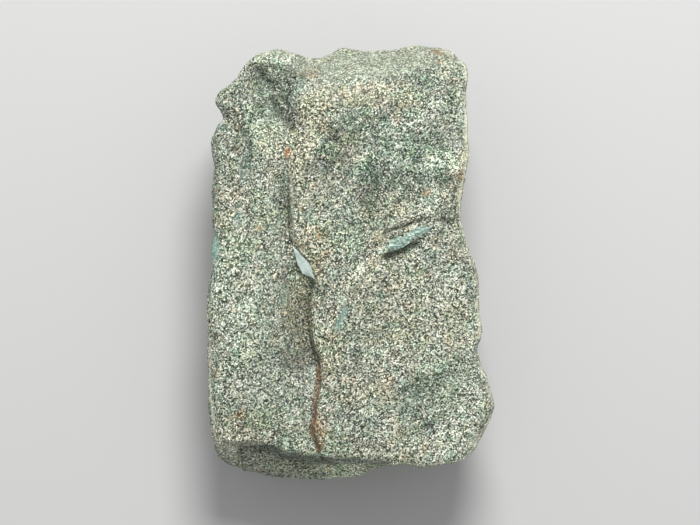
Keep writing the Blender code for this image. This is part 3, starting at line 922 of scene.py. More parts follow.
# The shade tint is painted shade, with a few real dark brown spots.
PAINTED_SHADE_AND_SPOT_DYE = (0.34, 0.34, 0.32)
EMERALD_DARK_DYE = (0.28, 0.36, 0.32)
EMERALD_DYE = (0.67, 0.92, 0.80)
RUST_DYE = (1.0, 0.72, 0.50)
# The frost is partly pale mica and partly painted light.
FROST_AND_LIGHT_GAIN = 0.75
# The colours that a tint lays over the schist, some from a deep one to a pale one, and how far it covers.
CRUST_COLOUR = (0.37, 0.395, 0.30)
CRUST_COVER = 0.46
TEAL_COLOURS = ((0.15, 0.27, 0.225), (0.30, 0.46, 0.39))
TEAL_COVER = 0.85
OCHRE_COLOURS = ((0.20, 0.10, 0.055), (0.66, 0.37, 0.16))
OCHRE_COVER = 0.45
# The lip is partly a painted highlight on the sharp edges.
LIP_AND_HIGHLIGHT_COLOUR = (0.70, 0.68, 0.51)
LIP_AND_HIGHLIGHT_COVER = 0.85
# How much of the lip and its painted highlight a wall loses.
LIP_WALL_LOSS = 0.75


class SchistStainAndLight:
    """The group that stains a colour with the tints stored on the mesh and with finer drifts, and lays
    painted shade and painted light on it.
    """

    NAME = "schist_stain"

    def group(self) -> bpy.types.NodeTree:
        """Makes the group, once.

        Returns:
            The group. It takes a colour and how far it takes the green dye, and gives it back with its
            stains, painted shade and painted light laid on.
        """
        if self.NAME in bpy.data.node_groups:
            return bpy.data.node_groups[self.NAME]
        group = new_group(self.NAME, {"Color": None, "Dye": 1.0}, {"Color": "Color"})
        pen = NodePen(group)
        inlet = group.nodes.new("NodeGroupInput")
        outlet = group.nodes.new("NodeGroupOutput")
        place = pen.object_place()
        side = pen.attribute("side")
        colour = self._drifts(pen, place, side, inlet.outputs["Color"])
        colour = self._greens(pen, place, inlet.outputs["Dye"], colour)
        colour = self._covers(pen, place, side, colour)
        pen.feed(outlet.inputs["Color"], colour)
        return group

    def _drifts(self, pen: NodePen, place: Socket, side: Socket, colour: Socket) -> Socket:
        """Lays the drifts, clusters, streaks and beds of the rock over a colour.

        Args:
            pen: The group's pen.
            place: The place on the object.
            side: How far the surface faces sideways.
            colour: The colour.

        Returns:
            The colour with its drifts.
        """
        clusters = pen.patches(place, 1.7, 0.40, 0.60)
        colour = pen.scaled(colour, pen.math("MULTIPLY_ADD", clusters, 0.14, 0.93))
        colour = COOL_DRIFT.over(pen, place, colour)
        colour = WARM_DRIFT.over(pen, place, colour)
        streaked = pen.noise(pen.vector_math("MULTIPLY", place, STREAK_STRETCH), 0.9, 3.0)
        colour = pen.scaled(colour, pen.math("MULTIPLY_ADD", streaked.outputs["Fac"], 0.3, 0.85))
        bedded = pen.patches(pen.vector_math("MULTIPLY", place, BED_STRETCH), 0.8, 0.36, 0.62)
        bands = pen.math("MULTIPLY_ADD", bedded, 0.5, 0.62)
        banded = pen.math("ADD", pen.math("MULTIPLY", bands, side), pen.math("SUBTRACT", 1.0, side))
        colour = BLUSH_DRIFT.over(pen, place, pen.scaled(colour, banded))
        return LUSH_DRIFT.over(pen, pen.vector_math("ADD", place, LUSH_SHIFT), colour)

    def _greens(self, pen: NodePen, place: Socket, dye: Socket, colour: Socket) -> Socket:
        """Dyes a colour with the beige, sage and emerald tints, and brightens it with frost, which is
        partly pale mica and partly painted light.

        Args:
            pen: The group's pen.
            place: The place on the object.
            dye: How far the colour takes the emerald.
            colour: The colour.

        Returns:
            The dyed colour.
        """
        colour = pen.blend(pen.attribute(Tint.BEIGE.value), colour, BEIGE_DYE, "MULTIPLY")
        colour = pen.blend(pen.attribute(Tint.SAGE.value), colour, SAGE_DYE, "MULTIPLY")
        emerald = pen.math("MULTIPLY", pen.attribute(Tint.EMERALD.value), dye)
        spots = pen.math("MULTIPLY_ADD", emerald, 0.08, pen.noise(place, 2.6, 3.0).outputs["Fac"])
        dark_spots = pen.math("MULTIPLY", emerald, pen.remapped(spots, 0.48, 0.58))
        colour = pen.blend(dark_spots, colour, EMERALD_DARK_DYE, "MULTIPLY")
        pockets = pen.math("MULTIPLY", emerald, pen.patches(place, 3.4, 0.50, 0.64, 2.0))
        colour = pen.blend(pockets, colour, EMERALD_DYE, "MULTIPLY")
        frost = pen.attribute(Tint.FROST_AND_PAINTED_LIGHT.value)
        return pen.scaled(colour, pen.math("MULTIPLY_ADD", frost, FROST_AND_LIGHT_GAIN, 1.0))

    def _covers(self, pen: NodePen, place: Socket, side: Socket, colour: Socket) -> Socket:
        """Lays the crust, the blue-green, the rust, the painted shade and the pale lip, partly a painted
        highlight, over a colour.

        Args:
            pen: The group's pen.
            place: The place on the object.
            side: How far the surface faces sideways.
            colour: The colour.

        Returns:
            The covered colour.
        """
        specks = pen.noise(place, 0.45, 2.0).outputs["Fac"]
        crust = pen.math("MULTIPLY", pen.attribute(Tint.CRUST.value), CRUST_COVER)
        colour = pen.blend(crust, colour, CRUST_COLOUR)
        turquoise = pen.blend(pen.remapped(specks, 0.35, 0.65), *TEAL_COLOURS)
        teal = pen.math("MULTIPLY", pen.attribute(Tint.TEAL.value), TEAL_COVER)
        colour = pen.blend(teal, colour, turquoise)
        ochre = pen.blend(pen.patches(place, 0.9, 0.4, 0.6, 2.0), *OCHRE_COLOURS)
        rusted = pen.blend(0.75, pen.blend(OCHRE_COVER, colour, ochre), RUST_DYE, "MULTIPLY")
        colour = pen.blend(pen.attribute(Tint.RUST.value), colour, rusted)
        colour = pen.blend(pen.attribute(Tint.PAINTED_SHADE_AND_DARK_SPOTS.value), colour, PAINTED_SHADE_AND_SPOT_DYE, "MULTIPLY")
        off_wall = pen.math("MULTIPLY_ADD", side, -LIP_WALL_LOSS, 1.0)
        lip = pen.math("MULTIPLY", pen.attribute(Tint.LIP_AND_HIGHLIGHT.value), off_wall)
        pale = pen.math("MULTIPLY", lip, pen.remapped(specks, 0.30, 0.50))
        return pen.blend(pen.math("MULTIPLY", pale, LIP_AND_HIGHLIGHT_COVER), colour, LIP_AND_HIGHLIGHT_COLOUR)


def placed_group(pen: NodePen, group: bpy.types.NodeTree, **values: float) -> bpy.types.Node:
    """Puts a node group in a tree.

    Args:
        pen: The pen of the tree.
        group: The group.
        values: Its input values by name, with underscores for spaces.

    Returns:
        The group's node.
    """
    node = pen.add("Group", node_tree=group)
    for name, value in values.items():
        node.inputs[name.replace("_", " ")].default_value = value
    return node


@dataclass(frozen=True)
class SchistFinish:
    """The skin between the flakes: interlocked grains, pale to nearly black, with open gaps darkened by
    painted shade.
    """

    grain: float = 0.36
    tilt: float = 0.8
    roughness: Place = (0.75, 0.38)
    specular: float = 0.5
    painted_gap_shade: Colour = (0.45, 0.46, 0.42)
    painted_hollow_shade: Colour = (0.72, 0.74, 0.69)
    # The grains' spread from nearly black to nearly white is partly their own colour and partly painted
    # glints and painted shade.
    stops: Stops = (
        (0.0, (0.012, 0.018, 0.013)),
        (0.30, (0.062, 0.080, 0.056)),
        (0.56, (0.28, 0.315, 0.235)),
        (0.78, (0.58, 0.60, 0.49)),
        (1.0, (0.90, 0.90, 0.82)),
    )

    def material(self) -> bpy.types.Material:
        """The finish as a material."""
        material, pen, shader = new_material("schist")
        grains = placed_group(pen, mica_grain_group(), Grain_Size=self.grain, Tilt=self.tilt)
        colour = pen.ramp(grains.outputs["Tone"], self.stops)
        # Painted shade in the gaps between grains.
        colour = pen.blend(grains.outputs["Gap"], colour, self.painted_gap_shade, "MULTIPLY")
        # Painted shade: darker in the hollows of the skin.
        colour = pen.blend(pen.attribute("hollow"), colour, self.painted_hollow_shade, "MULTIPLY")
        stained_and_lit = placed_group(pen, SchistStainAndLight().group(), Dye=1.0)
        pen.feed(stained_and_lit.inputs["Color"], colour)
        pen.feed(shader.inputs["Base Color"], stained_and_lit.outputs["Color"])
        rough = pen.add("MapRange")
        pen.feed(rough.inputs["Value"], pen.remapped(grains.outputs["Hue"], 0.35, 1.0))
        pen.feed(rough.inputs["To Min"], self.roughness[0])
        pen.feed(rough.inputs["To Max"], self.roughness[1])
        pen.feed(shader.inputs["Roughness"], rough.outputs["Result"])
        pen.feed(shader.inputs["Normal"], grains.outputs["Normal"])
        shader.inputs["Specular IOR Level"].default_value = self.specular
        return material


@dataclass(frozen=True)
class FlakeFinish:
    """Glossy mica, each flake of its own tone."""

    kind: FlakeKind
    stops: Stops
    dye: float
    roughness: float = 0.3
    specular: float = 0.75

    def material(self) -> bpy.types.Material:
        """The finish as a material."""
        material, pen, shader = new_material("mica_" + self.kind.value)
        stained_and_lit = placed_group(pen, SchistStainAndLight().group(), Dye=self.dye)
        pen.feed(stained_and_lit.inputs["Color"], pen.ramp(pen.attribute("tone"), self.stops))
        pen.feed(shader.inputs["Base Color"], stained_and_lit.outputs["Color"])
        cleavage = pen.noise(pen.object_place(), 0.25)
        rough = pen.math("MULTIPLY_ADD", cleavage.outputs["Fac"], 0.3, self.roughness - 0.15)
        pen.feed(shader.inputs["Roughness"], rough)
        shader.inputs["Specular IOR Level"].default_value = self.specular
        return material


@dataclass(frozen=True)
class BladeFinish:
    """Smooth blue-green blades, streaked along their length, dusted with grains and flecked with painted
    glints.
    """

    name: str
    pale: Colour
    deep: Colour
    streak: float
    along: float
    dusty: float = 0.3
    dust: Colour = (0.16, 0.21, 0.18)
    # Pale specks painted as glints, and how much of the blade they cover.
    glint: Colour = (0.80, 0.84, 0.78)
    glint_cover: float = 0.5
    roughness: float = 0.42

    def material(self) -> bpy.types.Material:
        """The finish as a material."""
        material, pen, shader = new_material(self.name)
        place = pen.object_place()
        turned = pen.add("Mapping")
        pen.feed(turned.inputs["Vector"], place)
        turned.inputs["Rotation"].default_value = (0.0, 0.0, -math.radians(self.along))
        turned.inputs["Scale"].default_value = (0.22, 1.0, 1.0)
        streaks = pen.noise(turned.outputs["Vector"], self.streak, 4.0)
        colour = pen.blend(pen.remapped(streaks.outputs["Fac"], 0.38, 0.62), self.deep, self.pale)
        grains = placed_group(pen, mica_grain_group(), Grain_Size=0.5, Tilt=0.25)
        dusted = pen.math("MULTIPLY", pen.remapped(grains.outputs["Tone"], 0.75, 0.95), self.dusty)
        colour = pen.blend(dusted, colour, self.dust)
        # Painted glints: pale specks over some grains.
        bright = pen.math("MULTIPLY", pen.remapped(grains.outputs["Hue"], 0.8, 1.0), self.glint_cover)
        colour = pen.blend(bright, colour, self.glint)
        pen.feed(shader.inputs["Base Color"], colour)
        shader.inputs["Roughness"].default_value = self.roughness
        relief = pen.add("Bump")
        relief.inputs["Strength"].default_value = 0.35
        relief.inputs["Distance"].default_value = 0.1 * MM
        pen.feed(relief.inputs["Height"], streaks.outputs["Fac"])
        pen.feed(shader.inputs["Normal"], relief.outputs["Normal"])
        return material


@dataclass
class Blade:
    """One smooth blade: a plate with an even face, sunk into the skin along a line in plan."""

    name: str
    spine: tuple[Place, ...]
    widths: tuple[float, ...]
    finish: BladeFinish
    flat: float = 0.7
    tilt_share: float = 0.35
    crown: float = 0.12
    lift: float = 0.12
    thickness: float = 1.6
    ragged: float = 0.12
    rough: float = 0.05
    steps: int = 36
    lanes: int = 10

    def at(self, share: float) -> tuple[np.ndarray, np.ndarray, float]:
        """The spine at a share of its length.

        Args:
            share: From 0 at its first point to 1 at its last.

        Returns:
            The place in plan, the direction to the right of the spine, and the half width there.
        """
        points = np.array(self.spine)
        runs = np.hypot(*np.diff(points, axis=0).T)
        marks = np.concatenate(((0.0,), np.cumsum(runs))) / runs.sum()
        place = np.array([np.interp(share, marks, points[:, axis]) for axis in (0, 1)])
        run = (points[-1] - points[0]) / np.hypot(*(points[-1] - points[0]))
        return place, np.array((run[1], -run[0])), float(np.interp(share, marks, self.widths))

    def _spot(self, share: float, across: float, ground: "Ground") -> Vector:
        """Where a point of the blade's face lies.

        Args:
            share: How far along the spine it is, from 0 to 1.
            across: How far to the side, from -1 to 1.
            ground: The skin that the blade lies on.

        Returns:
            The place in millimetres.
        """
        middle, side, half_width = self.at(share)
        ragged = self.ragged * noise.noise(Vector((share * 9.0, 3.0 * across, len(self.name))))
        spot = middle + side * half_width * across * (1.0 + ragged) - PLAN_CENTRE
        edges = [middle + side * half_width * lane - PLAN_CENTRE for lane in (-1.0, 1.0)]
        near, far = (ground.height(*edge) for edge in edges)
        lane = 0.5 + 0.5 * across if near <= far else 0.5 - 0.5 * across
        plane = min(near, far) + abs(far - near) * (self.tilt_share + (1.0 - self.tilt_share) * lane)
        draped = ground.height(*spot)
        even = max(draped + (plane - draped) * self.flat, draped)
        crumbs = self.rough * noise.noise(Vector((*(spot + PLAN_CENTRE), len(self.name))) * 1.6)
        return Vector((*spot, even + self.lift + self.crown * (1.0 - across * across) + crumbs))

    def build(self, ground: "Ground") -> bpy.types.Object:
        """Makes the blade on the skin.

        Args:
            ground: The skin it lies on.

        Returns:
            The blade.
        """
        plate = bmesh.new()
        bmesh.ops.create_grid(plate, x_segments=self.steps, y_segments=self.lanes, size=0.5)
        for corner in plate.verts:
            corner.co = self._spot(corner.co.x + 0.5, corner.co.y * 2.0, ground) * MM
        bmesh.ops.smooth_vert(plate, verts=plate.verts[:], factor=0.5, use_axis_z=True)
        foot = bmesh.ops.extrude_face_region(plate, geom=plate.faces[:])
        corners = [item for item in foot["geom"] if isinstance(item, bmesh.types.BMVert)]
        bmesh.ops.translate(plate, verts=corners, vec=(0.0, 0.0, -self.thickness * MM))
        bmesh.ops.recalc_face_normals(plate, faces=plate.faces[:])
        mesh = mesh_from(plate, self.name)
        mesh.shade_smooth()
        mesh.set_sharp_from_angle(angle=math.radians(40.0))
        return add_object(self.name, mesh, self.finish.material())


class Ground:
    """The dressed skin as something to lay flakes and blades on."""

    def __init__(self, skin: bpy.types.Object) -> None:
        """Reads the skin once.

        Args:
            skin: The skin's object.
        """
        mesh = skin.data
        mesh.calc_loop_triangles()
        corners = np.empty(len(mesh.loop_triangles) * 3, dtype=np.int32)
        mesh.loop_triangles.foreach_get("vertices", corners)
        self.triangles = corners.reshape(-1, 3)
        self.places = vertex_places(mesh)
        self.normals = vertex_normals(mesh)
        self.tree = BVHTree.FromPolygons(self.places.tolist(), self.triangles.tolist())

    def height(self, x: float, y: float) -> float:
        """The height of the skin's top at a place in plan.

        Args:
            x: Across, in millimetres.
            y: Along, in millimetres.

        Returns:
            The height in millimetres.
        """
        point, _, _, _ = self.tree.ray_cast(Vector((x, y, 100.0)), Vector((0.0, 0.0, -1.0)))
        return point.z


@dataclass
class StoneSkin:
    """The whole stone as one closed skin, from the solid's own form."""

    voxel: float = 0.575
    worn_rounds: int = 2
    top_lumps: tuple[tuple[float, float], ...] = ((5.0, 0.30), (2.4, 0.18), (1.3, 0.08))
    plate_size: float = 1.9
    plate_rise: float = 0.15
    plate_jag: float = 0.5
    pit_size: float = 0.75
    grain_pits: float = 0.11
    side_calm: float = 0.35
    hollow_depth: float = 0.5
    blade_bed_calm: float = 0.8
    bed_depth: float = 0.62
    # How thick the beds of each kind are, how far they run, and their share of the depth.
    beds: tuple[tuple[float, float, float], ...] = ((2.6, 11.0, 0.6), (1.3, 6.0, 0.5), (0.7, 3.5, 0.22))
    cuts: tuple[tuple[Seam, float], ...] = (
        (CRACK, 0.8),
        (STRIP_CRACK, 1.0),
        (LEDGE_HOLLOW, 1.4),
        (LEDGE_FOOT, 0.45),
        (CLIFF_NORTH, 0.4),
        (CLIFF_SOUTH, 0.6),
        *((seam, 0.9 * seam.strength) for seam in CORNER_CRACKS),
    )
    finish: SchistFinish = field(default_factory=SchistFinish)

    def build(self, node: bpy.types.Object) -> bpy.types.Object:
        """Makes the skin.

        Args:
            node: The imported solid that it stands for.

        Returns:
            The skin.
        """
        mesh = self._worn(self._remeshed(self._merged(node)))
        places = vertex_places(mesh)
        relief, hollow = self._relief(places, vertex_normals(mesh))
        places = places + relief
        places[:, 2] = np.maximum(places[:, 2], 0.0)
        move_vertices(mesh, places)
        fray = tint_fray(places)
        for tint in Tint:
            write_attribute(mesh, tint.value, tint_values(places, fray, tint))
        # How hollow each place lies, which the material darkens as painted shade.
        write_attribute(mesh, "hollow", hollow)
        write_attribute(mesh, "side", side_share(vertex_normals(mesh)))
        mesh.shade_smooth()
        return add_object("schist_skin", mesh, self.finish.material())

    def _merged(self, node: bpy.types.Object) -> bpy.types.Mesh:
        """A copy of the solid with its loose triangles joined.

        Args:
            node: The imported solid.

        Returns:
            The copy.
        """
        solid = bmesh.new()
        solid.from_mesh(node.data)
        bmesh.ops.remove_doubles(solid, verts=solid.verts[:], dist=0.01 * MM)
        return mesh_from(solid, "solid_copy")

    def _remeshed(self, mesh: bpy.types.Mesh) -> bpy.types.Mesh:
        """The same form in small even faces.

        Args:
            mesh: The closed form.

        Returns:
            Its remeshed copy.
        """
        holder = bpy.data.objects.new("solid_copy", mesh)
        bpy.context.scene.collection.objects.link(holder)
        fine = holder.modifiers.new("fine", "REMESH")
        fine.mode = "VOXEL"
        fine.voxel_size = self.voxel * MM
        graph = bpy.context.evaluated_depsgraph_get()
        result = bpy.data.meshes.new_from_object(holder.evaluated_get(graph))
        bpy.data.objects.remove(holder)
        bpy.data.meshes.remove(mesh)
        result.name = "schist_skin"
        return result

    def _worn(self, mesh: bpy.types.Mesh) -> bpy.types.Mesh:
        """The form with the edges of its facets worn off.

        Args:
            mesh: The fine mesh.

        Returns:
            The same mesh.
        """
        form = bmesh.new()
        form.from_mesh(mesh)
        for _ in range(self.worn_rounds):
            bmesh.ops.smooth_vert(
                form, verts=form.verts[:], factor=0.5, use_axis_x=True, use_axis_y=True, use_axis_z=True
            )
        form.to_mesh(mesh)
        form.free()
        return mesh

    def _relief(self, places: np.ndarray, normals: np.ndarray) -> tuple[np.ndarray, np.ndarray]:
        """How far the broken surface stands off the worn form.

        Args:
            places: The form's vertices.
            normals: Their normals.

        Returns:
            A move for each vertex, and how hollow it lies, from 0 to 1.
        """
        plan = places[:, :2] + PLAN_CENTRE
        up = normals[:, 2]
        side = side_share(normals)
        lumps = sum(rise * wander(places, size, size) for size, rise in self.top_lumps)
        jags = np.stack([wander(places, 1.6, layer) for layer in (11.0, 23.0, 37.0)], axis=1)
        jagged = places + self.plate_jag * jags
        plates, borders = cell_heights(jagged * (1.0, 1.0, 1.6), self.plate_size)
        broken = self.plate_rise * (plates - 0.5) * smooth_step(borders, 0.0, 0.25)
        pits = self.grain_pits * (wander(places, self.pit_size, 3.0) - 0.3)
        out = lumps * (1.0 - self.side_calm * side) + broken + pits + self._beds(places) * side

        under = smooth_step(up, -0.6, -0.9) * smooth_step(places[:, 2], 2.5, 0.5)
        out = out * (1.0 - under) - under * 0.3 * np.maximum(0.0, lumps + broken)
        out *= 1.0 - self.blade_bed_calm * self._blade_beds(plan, up)
        move = normals * out[:, None]
        move[:, 2] -= self._carving(plan, places, up)
        hollow = smooth_step(out, 0.0, -self.hollow_depth) * (1.0 - under)
        return move, hollow

    def _beds(self, places: np.ndarray) -> np.ndarray:
        """How far the beds of the schist stand out from the sides.

        Args:
            places: The form's vertices.

        Returns:
            One distance a vertex.
        """
        sway = 1.2 * wander(places * (1.0, 1.0, 0.2), 21.0, 2.0) + 0.35 * wander(places, 4.0, 4.0)
        height = places[:, 2] + sway
        total = np.zeros(len(places))
        for thickness, run, share in self.beds:
            bed = height / thickness
            lower = np.floor(bed)
            edge = smooth_step(bed - lower, 0.72, 1.0)
            for step, weight in ((0.0, 1.0 - edge), (1.0, edge)):
                layer = np.stack((places[:, 0] / run, places[:, 1] / run, (lower + step) * 5.3), axis=1)
                total += self.bed_depth * share * weight * wander(layer, 1.0, thickness)
        return total

    def _blade_beds(self, plan: np.ndarray, up: np.ndarray) -> np.ndarray:
        """Where the surface is kept even, for a blade to lie on.

        Args:
            plan: The vertices' places in plan.
            up: How far each vertex faces up.

        Returns:
            One share a vertex.
        """
        share = np.zeros(len(plan))
        for blade in BLADES:
            seam = Seam(blade.spine, width=max(blade.widths))
            share = np.maximum(share, smooth_step(seam.distance(plan) / seam.width, 1.5, 0.8))
        return share * smooth_step(up, 0.0, 0.3)

    def _carving(self, plan: np.ndarray, places: np.ndarray, up: np.ndarray) -> np.ndarray:
        """How deep the cracks and the hollow under the ledge are cut.

        Args:
            plan: The vertices' places in plan.
            places: Their places.
            up: How far each faces up.

        Returns:
            One depth a vertex.
        """
        strayed = plan + 0.35 * np.stack([wander(places, 1.8, k) for k in (51.0, 67.0)], axis=1)
        depth = np.zeros(len(plan))
        for seam, deep in self.cuts:
            depth += deep * np.exp(-((seam.distance(strayed) / seam.width) ** 2))
        return depth * smooth_step(up, 0.0, 0.3)


@dataclass
class MicaFlakes:
    """One kind of mica, as plates that lie in the skin."""

    kind: FlakeKind
    count: int
    seed: int
    finish: FlakeFinish
    gains: tuple[tuple[Tint, float], ...] = ()
    width: Place = (0.28, 0.60)
    # How strongly small widths prevail, and the second width as a share of the first.
    small_bias: float = 2.2
    slim: Place = (0.28, 0.78)
    thickness: float = 0.06
    sides: int = 4
    # How unevenly the corners stand out, and within what bounds.
    corner_spread: float = 0.22
    corner_reach: Place = (0.6, 1.5)
    jitter: float = 0.36
    # How far the flakes turn from the skin towards the beds: on level faces, and more on the sides.
    bedding: Place = (0.3, 0.3)
    # How crowded they lie: on the sides, more on the top, and less underneath.
    crowding: tuple[float, float, float] = (0.55, 1.0, 0.25)
    # What share of them the crust and the blue-green marks keep off.
    crust_bare: float = 0.3
    teal_bare: float = 0.85
    batch: int = 400

    def build(self, ground: Ground) -> bpy.types.Object:
        """Makes all the flakes of this kind as one piece.

        Args:
            ground: The skin that they lie on.

        Returns:
            The piece.
        """
        rng = np.random.default_rng(self.seed)
        centres, normals = self._scattered(ground, rng)
        axes = self._axes(normals, rng)
        extra = rng.random(self.count) ** self.small_bias
        widths = self.width[0] + (self.width[1] - self.width[0]) * extra
        slim = self.slim[0] + (self.slim[1] - self.slim[0]) * rng.random(self.count)
        mesh = self._plates(centres, axes, widths, slim, rng)
        places = vertex_places(mesh)
        places[:, 2] = np.maximum(places[:, 2], 0.0)
        move_vertices(mesh, places)
        flake = np.empty(len(mesh.vertices), dtype=np.int32)
        mesh.attributes["flake"].data.foreach_get("value", flake)
        write_attribute(mesh, "tone", rng.random(self.count)[flake])
        write_attribute(mesh, "side", side_share(normals)[flake])
        fray = tint_fray(centres)
        for tint in Tint:
            write_attribute(mesh, tint.value, tint_values(centres, fray, tint)[flake])
        self._lay_out(mesh, places, centres, axes, widths, flake)
        mesh.attributes.remove(mesh.attributes["flake"])
        return add_object("mica_" + self.kind.value, mesh, self.finish.material())

    def _scattered(self, ground: Ground, rng: np.random.Generator) -> tuple[np.ndarray, np.ndarray]:
        """Picks the flakes' places.

        Args:
            ground: The skin.
            rng: Where chance comes from.

        Returns:
            The flakes' centres and the skin's normals there.
        """
        corners = ground.places[ground.triangles]
        cross = np.cross(corners[:, 1] - corners[:, 0], corners[:, 2] - corners[:, 0])
        area = np.linalg.norm(cross, axis=1)
        up = cross[:, 2] / np.maximum(area, 1e-12)
        aside, above, below = self.crowding
        rich = aside + above * smooth_step(up, 0.1, 0.7) - below * smooth_step(up, -0.4, -0.9)
        middles = corners.mean(axis=1)
        plan = middles[:, :2] + PLAN_CENTRE
        even = np.zeros(len(middles))
        crusted = tint_values(middles, even, Tint.CRUST)
        teal = tint_values(middles, even, Tint.TEAL)
        bare = np.maximum(self.crust_bare * crusted, self.teal_bare * teal)
        for blade in BLADES:
            seam = Seam(blade.spine, width=max(blade.widths))
            bare = np.maximum(bare, smooth_step(seam.distance(plan) / seam.width, 1.35, 1.05) * (up > 0.2))
        for tint, gain in self.gains:
            rich = rich * (1.0 + gain * tint_values(middles, even, tint))
        share = area * rich * (1.0 - bare)
        chosen = rng.choice(len(corners), self.count, p=share / share.sum())
        mix = rng.dirichlet((1.0, 1.0, 1.0), self.count)[:, :, None]
        centres = (ground.places[ground.triangles[chosen]] * mix).sum(axis=1)
        normals = (ground.normals[ground.triangles[chosen]] * mix).sum(axis=1)
        return centres, normals / np.linalg.norm(normals, axis=1, keepdims=True)

    def _axes(self, normals: np.ndarray, rng: np.random.Generator) -> np.ndarray:
        """Turns each flake between the skin and the beds, with some chance.

        Args:
            normals: The skin's normals.
            rng: Where chance comes from.

        Returns:
            Three axes a flake, of which the last is its normal.
        """
        bed = np.zeros_like(normals)
        bed[:, 2] = np.where(normals[:, 2] < 0.0, -1.0, 1.0)
        share = self.bedding[0] + self.bedding[1] * smooth_step(np.abs(normals[:, 2]), 0.8, 0.3)[:, None]
        up = normals * (1.0 - share) + bed * share + self.jitter * rng.normal(size=normals.shape)
        up /= np.linalg.norm(up, axis=1, keepdims=True)
        loose = rng.normal(size=normals.shape)
        first = np.cross(up, loose)
        first /= np.linalg.norm(first, axis=1, keepdims=True)
        return np.stack((first, np.cross(up, first), up), axis=1)

    def _plates(
        self,
        centres: np.ndarray,
        axes: np.ndarray,
        widths: np.ndarray,
        slim: np.ndarray,
        rng: np.random.Generator,
    ) -> bpy.types.Mesh:
        """Makes the plates, each vertex with the number of its flake.

        Args:
            centres: Where the flakes lie.
            axes: How they are turned.
            widths: How wide they are.
            slim: Their second width, as a share of the first.
            rng: Where chance comes from.

        Returns:
            The mesh.
        """
        whole = bmesh.new()
        whole.verts.layers.int.new("flake")
        for first in range(0, self.count, self.batch):
            batch = bmesh.new()
            number = batch.verts.layers.int.new("flake")
            for index in range(first, min(first + self.batch, self.count)):
                turn = Matrix(axes[index].T.tolist()).to_4x4()
                size = Matrix.Diagonal((widths[index] * MM, widths[index] * slim[index] * MM, 1.0, 1.0))
                move = Matrix.Translation(centres[index] * MM)
                disc = bmesh.ops.create_circle(
                    batch, cap_ends=True, radius=0.5, segments=self.sides, matrix=move @ turn @ size
                )
                spread = 1.0 + self.corner_spread * rng.normal(size=self.sides)
                middle = move.translation
                for corner, reach in zip(disc["verts"], np.clip(spread, *self.corner_reach)):
                    corner[number] = index
                    corner.co = middle + (corner.co - middle) * reach
            bmesh.ops.solidify(batch, geom=batch.faces[:], thickness=self.thickness * MM)
            tile = mesh_from(batch, "tile")
            whole.from_mesh(tile)
            bpy.data.meshes.remove(tile)
        return mesh_from(whole, "mica_" + self.kind.value)

    def _lay_out(
        self,
        mesh: bpy.types.Mesh,
        places: np.ndarray,
        centres: np.ndarray,
        axes: np.ndarray,
        widths: np.ndarray,
        flake: np.ndarray,
    ) -> None:
        """Gives each flake a cell of its own on a UV map named OFBake.

        Args:
            mesh: The plates.
            places: Their vertices.
            centres: The flakes' centres.
            axes: Their axes.
            widths: Their widths.
            flake: The number of each vertex's flake.
        """
        across = math.ceil(math.sqrt(self.count))
        cell = np.stack((flake % across, flake // across), axis=1) + 0.5
        offset = places - centres[flake]
        local = np.stack([(offset * axes[flake, k]).sum(axis=1) for k in (0, 1)], axis=1)
        spots = (cell + 0.42 * np.clip(local / widths[flake, None], -1.0, 1.0)) / across
        corner = np.empty(len(mesh.loops), dtype=np.int32)
        mesh.loops.foreach_get("vertex_index", corner)
        layer = mesh.uv_layers.new(name="OFBake", do_init=False)
        layer.uv.foreach_set("vector", spots[corner].astype(np.float32).ravel())


@dataclass
class Studio:
    """A plain pale floor, a soft light from beyond the sloping end, and the camera above."""

    frame_width: float = 179.5
    frame_height_level: float = 33.0
    look_at: Place = (-0.05, 0.41)
    lens: float = 200.0
    sensor: float = 36.0
    floor_size: float = 3.0
    floor_colour: Colour = (0.50, 0.50, 0.49)
    key_place: tuple[float, float, float] = (0.08, 0.56, 0.66)
    key_size: float = 0.36
    key_power: float = 9.2
    sky_strength: float = 0.54

    def build(self) -> bpy.types.Object:
        """Makes the floor, the lights and the camera.

        Returns:
            The floor.
        """
        scene = bpy.context.scene
        scene.view_settings.view_transform = "Standard"
        self._camera(scene)
        self._key(scene)
        world = bpy.data.worlds.new("studio")
        scene.world = world
        world.use_nodes = True
        sky = world.node_tree.nodes["Background"]
        sky.inputs["Color"].default_value = (0.97, 0.985, 1.0, 1.0)
        sky.inputs["Strength"].default_value = self.sky_strength
        return self._floor()

    def _camera(self, scene: bpy.types.Scene) -> None:
        """Adds the camera, straight above the stone."""
        data = bpy.data.cameras.new("camera")
        data.lens = self.lens
        data.sensor_width = self.sensor
        data.clip_start = 0.01
        camera = bpy.data.objects.new("camera", data)
        distance = self.frame_width * self.lens / self.sensor
        camera.location = Vector((*self.look_at, self.frame_height_level + distance)) * MM
        scene.collection.objects.link(camera)
        scene.camera = camera

    def _key(self, scene: bpy.types.Scene) -> None:
        """Adds the large soft light."""
        data = bpy.data.lights.new("key", "AREA")
        data.shape = "DISK"
        data.size = self.key_size
        data.energy = self.key_power
        lamp = bpy.data.objects.new("key", data)
        lamp.location = self.key_place
        lamp.rotation_euler = Vector(self.key_place).to_track_quat("Z", "Y").to_euler()
        scene.collection.objects.link(lamp)

    def _floor(self) -> bpy.types.Object:
        """Adds the floor and returns it."""
        material, _, shader = new_material("floor")
        shader.inputs["Base Color"].default_value = (*self.floor_colour, 1.0)
        shader.inputs["Roughness"].default_value = 0.9
        sheet = bmesh.new()
        bmesh.ops.create_grid(sheet, x_segments=4, y_segments=4, size=self.floor_size / 2.0)
        return add_object("floor", mesh_from(sheet, "floor"), material)


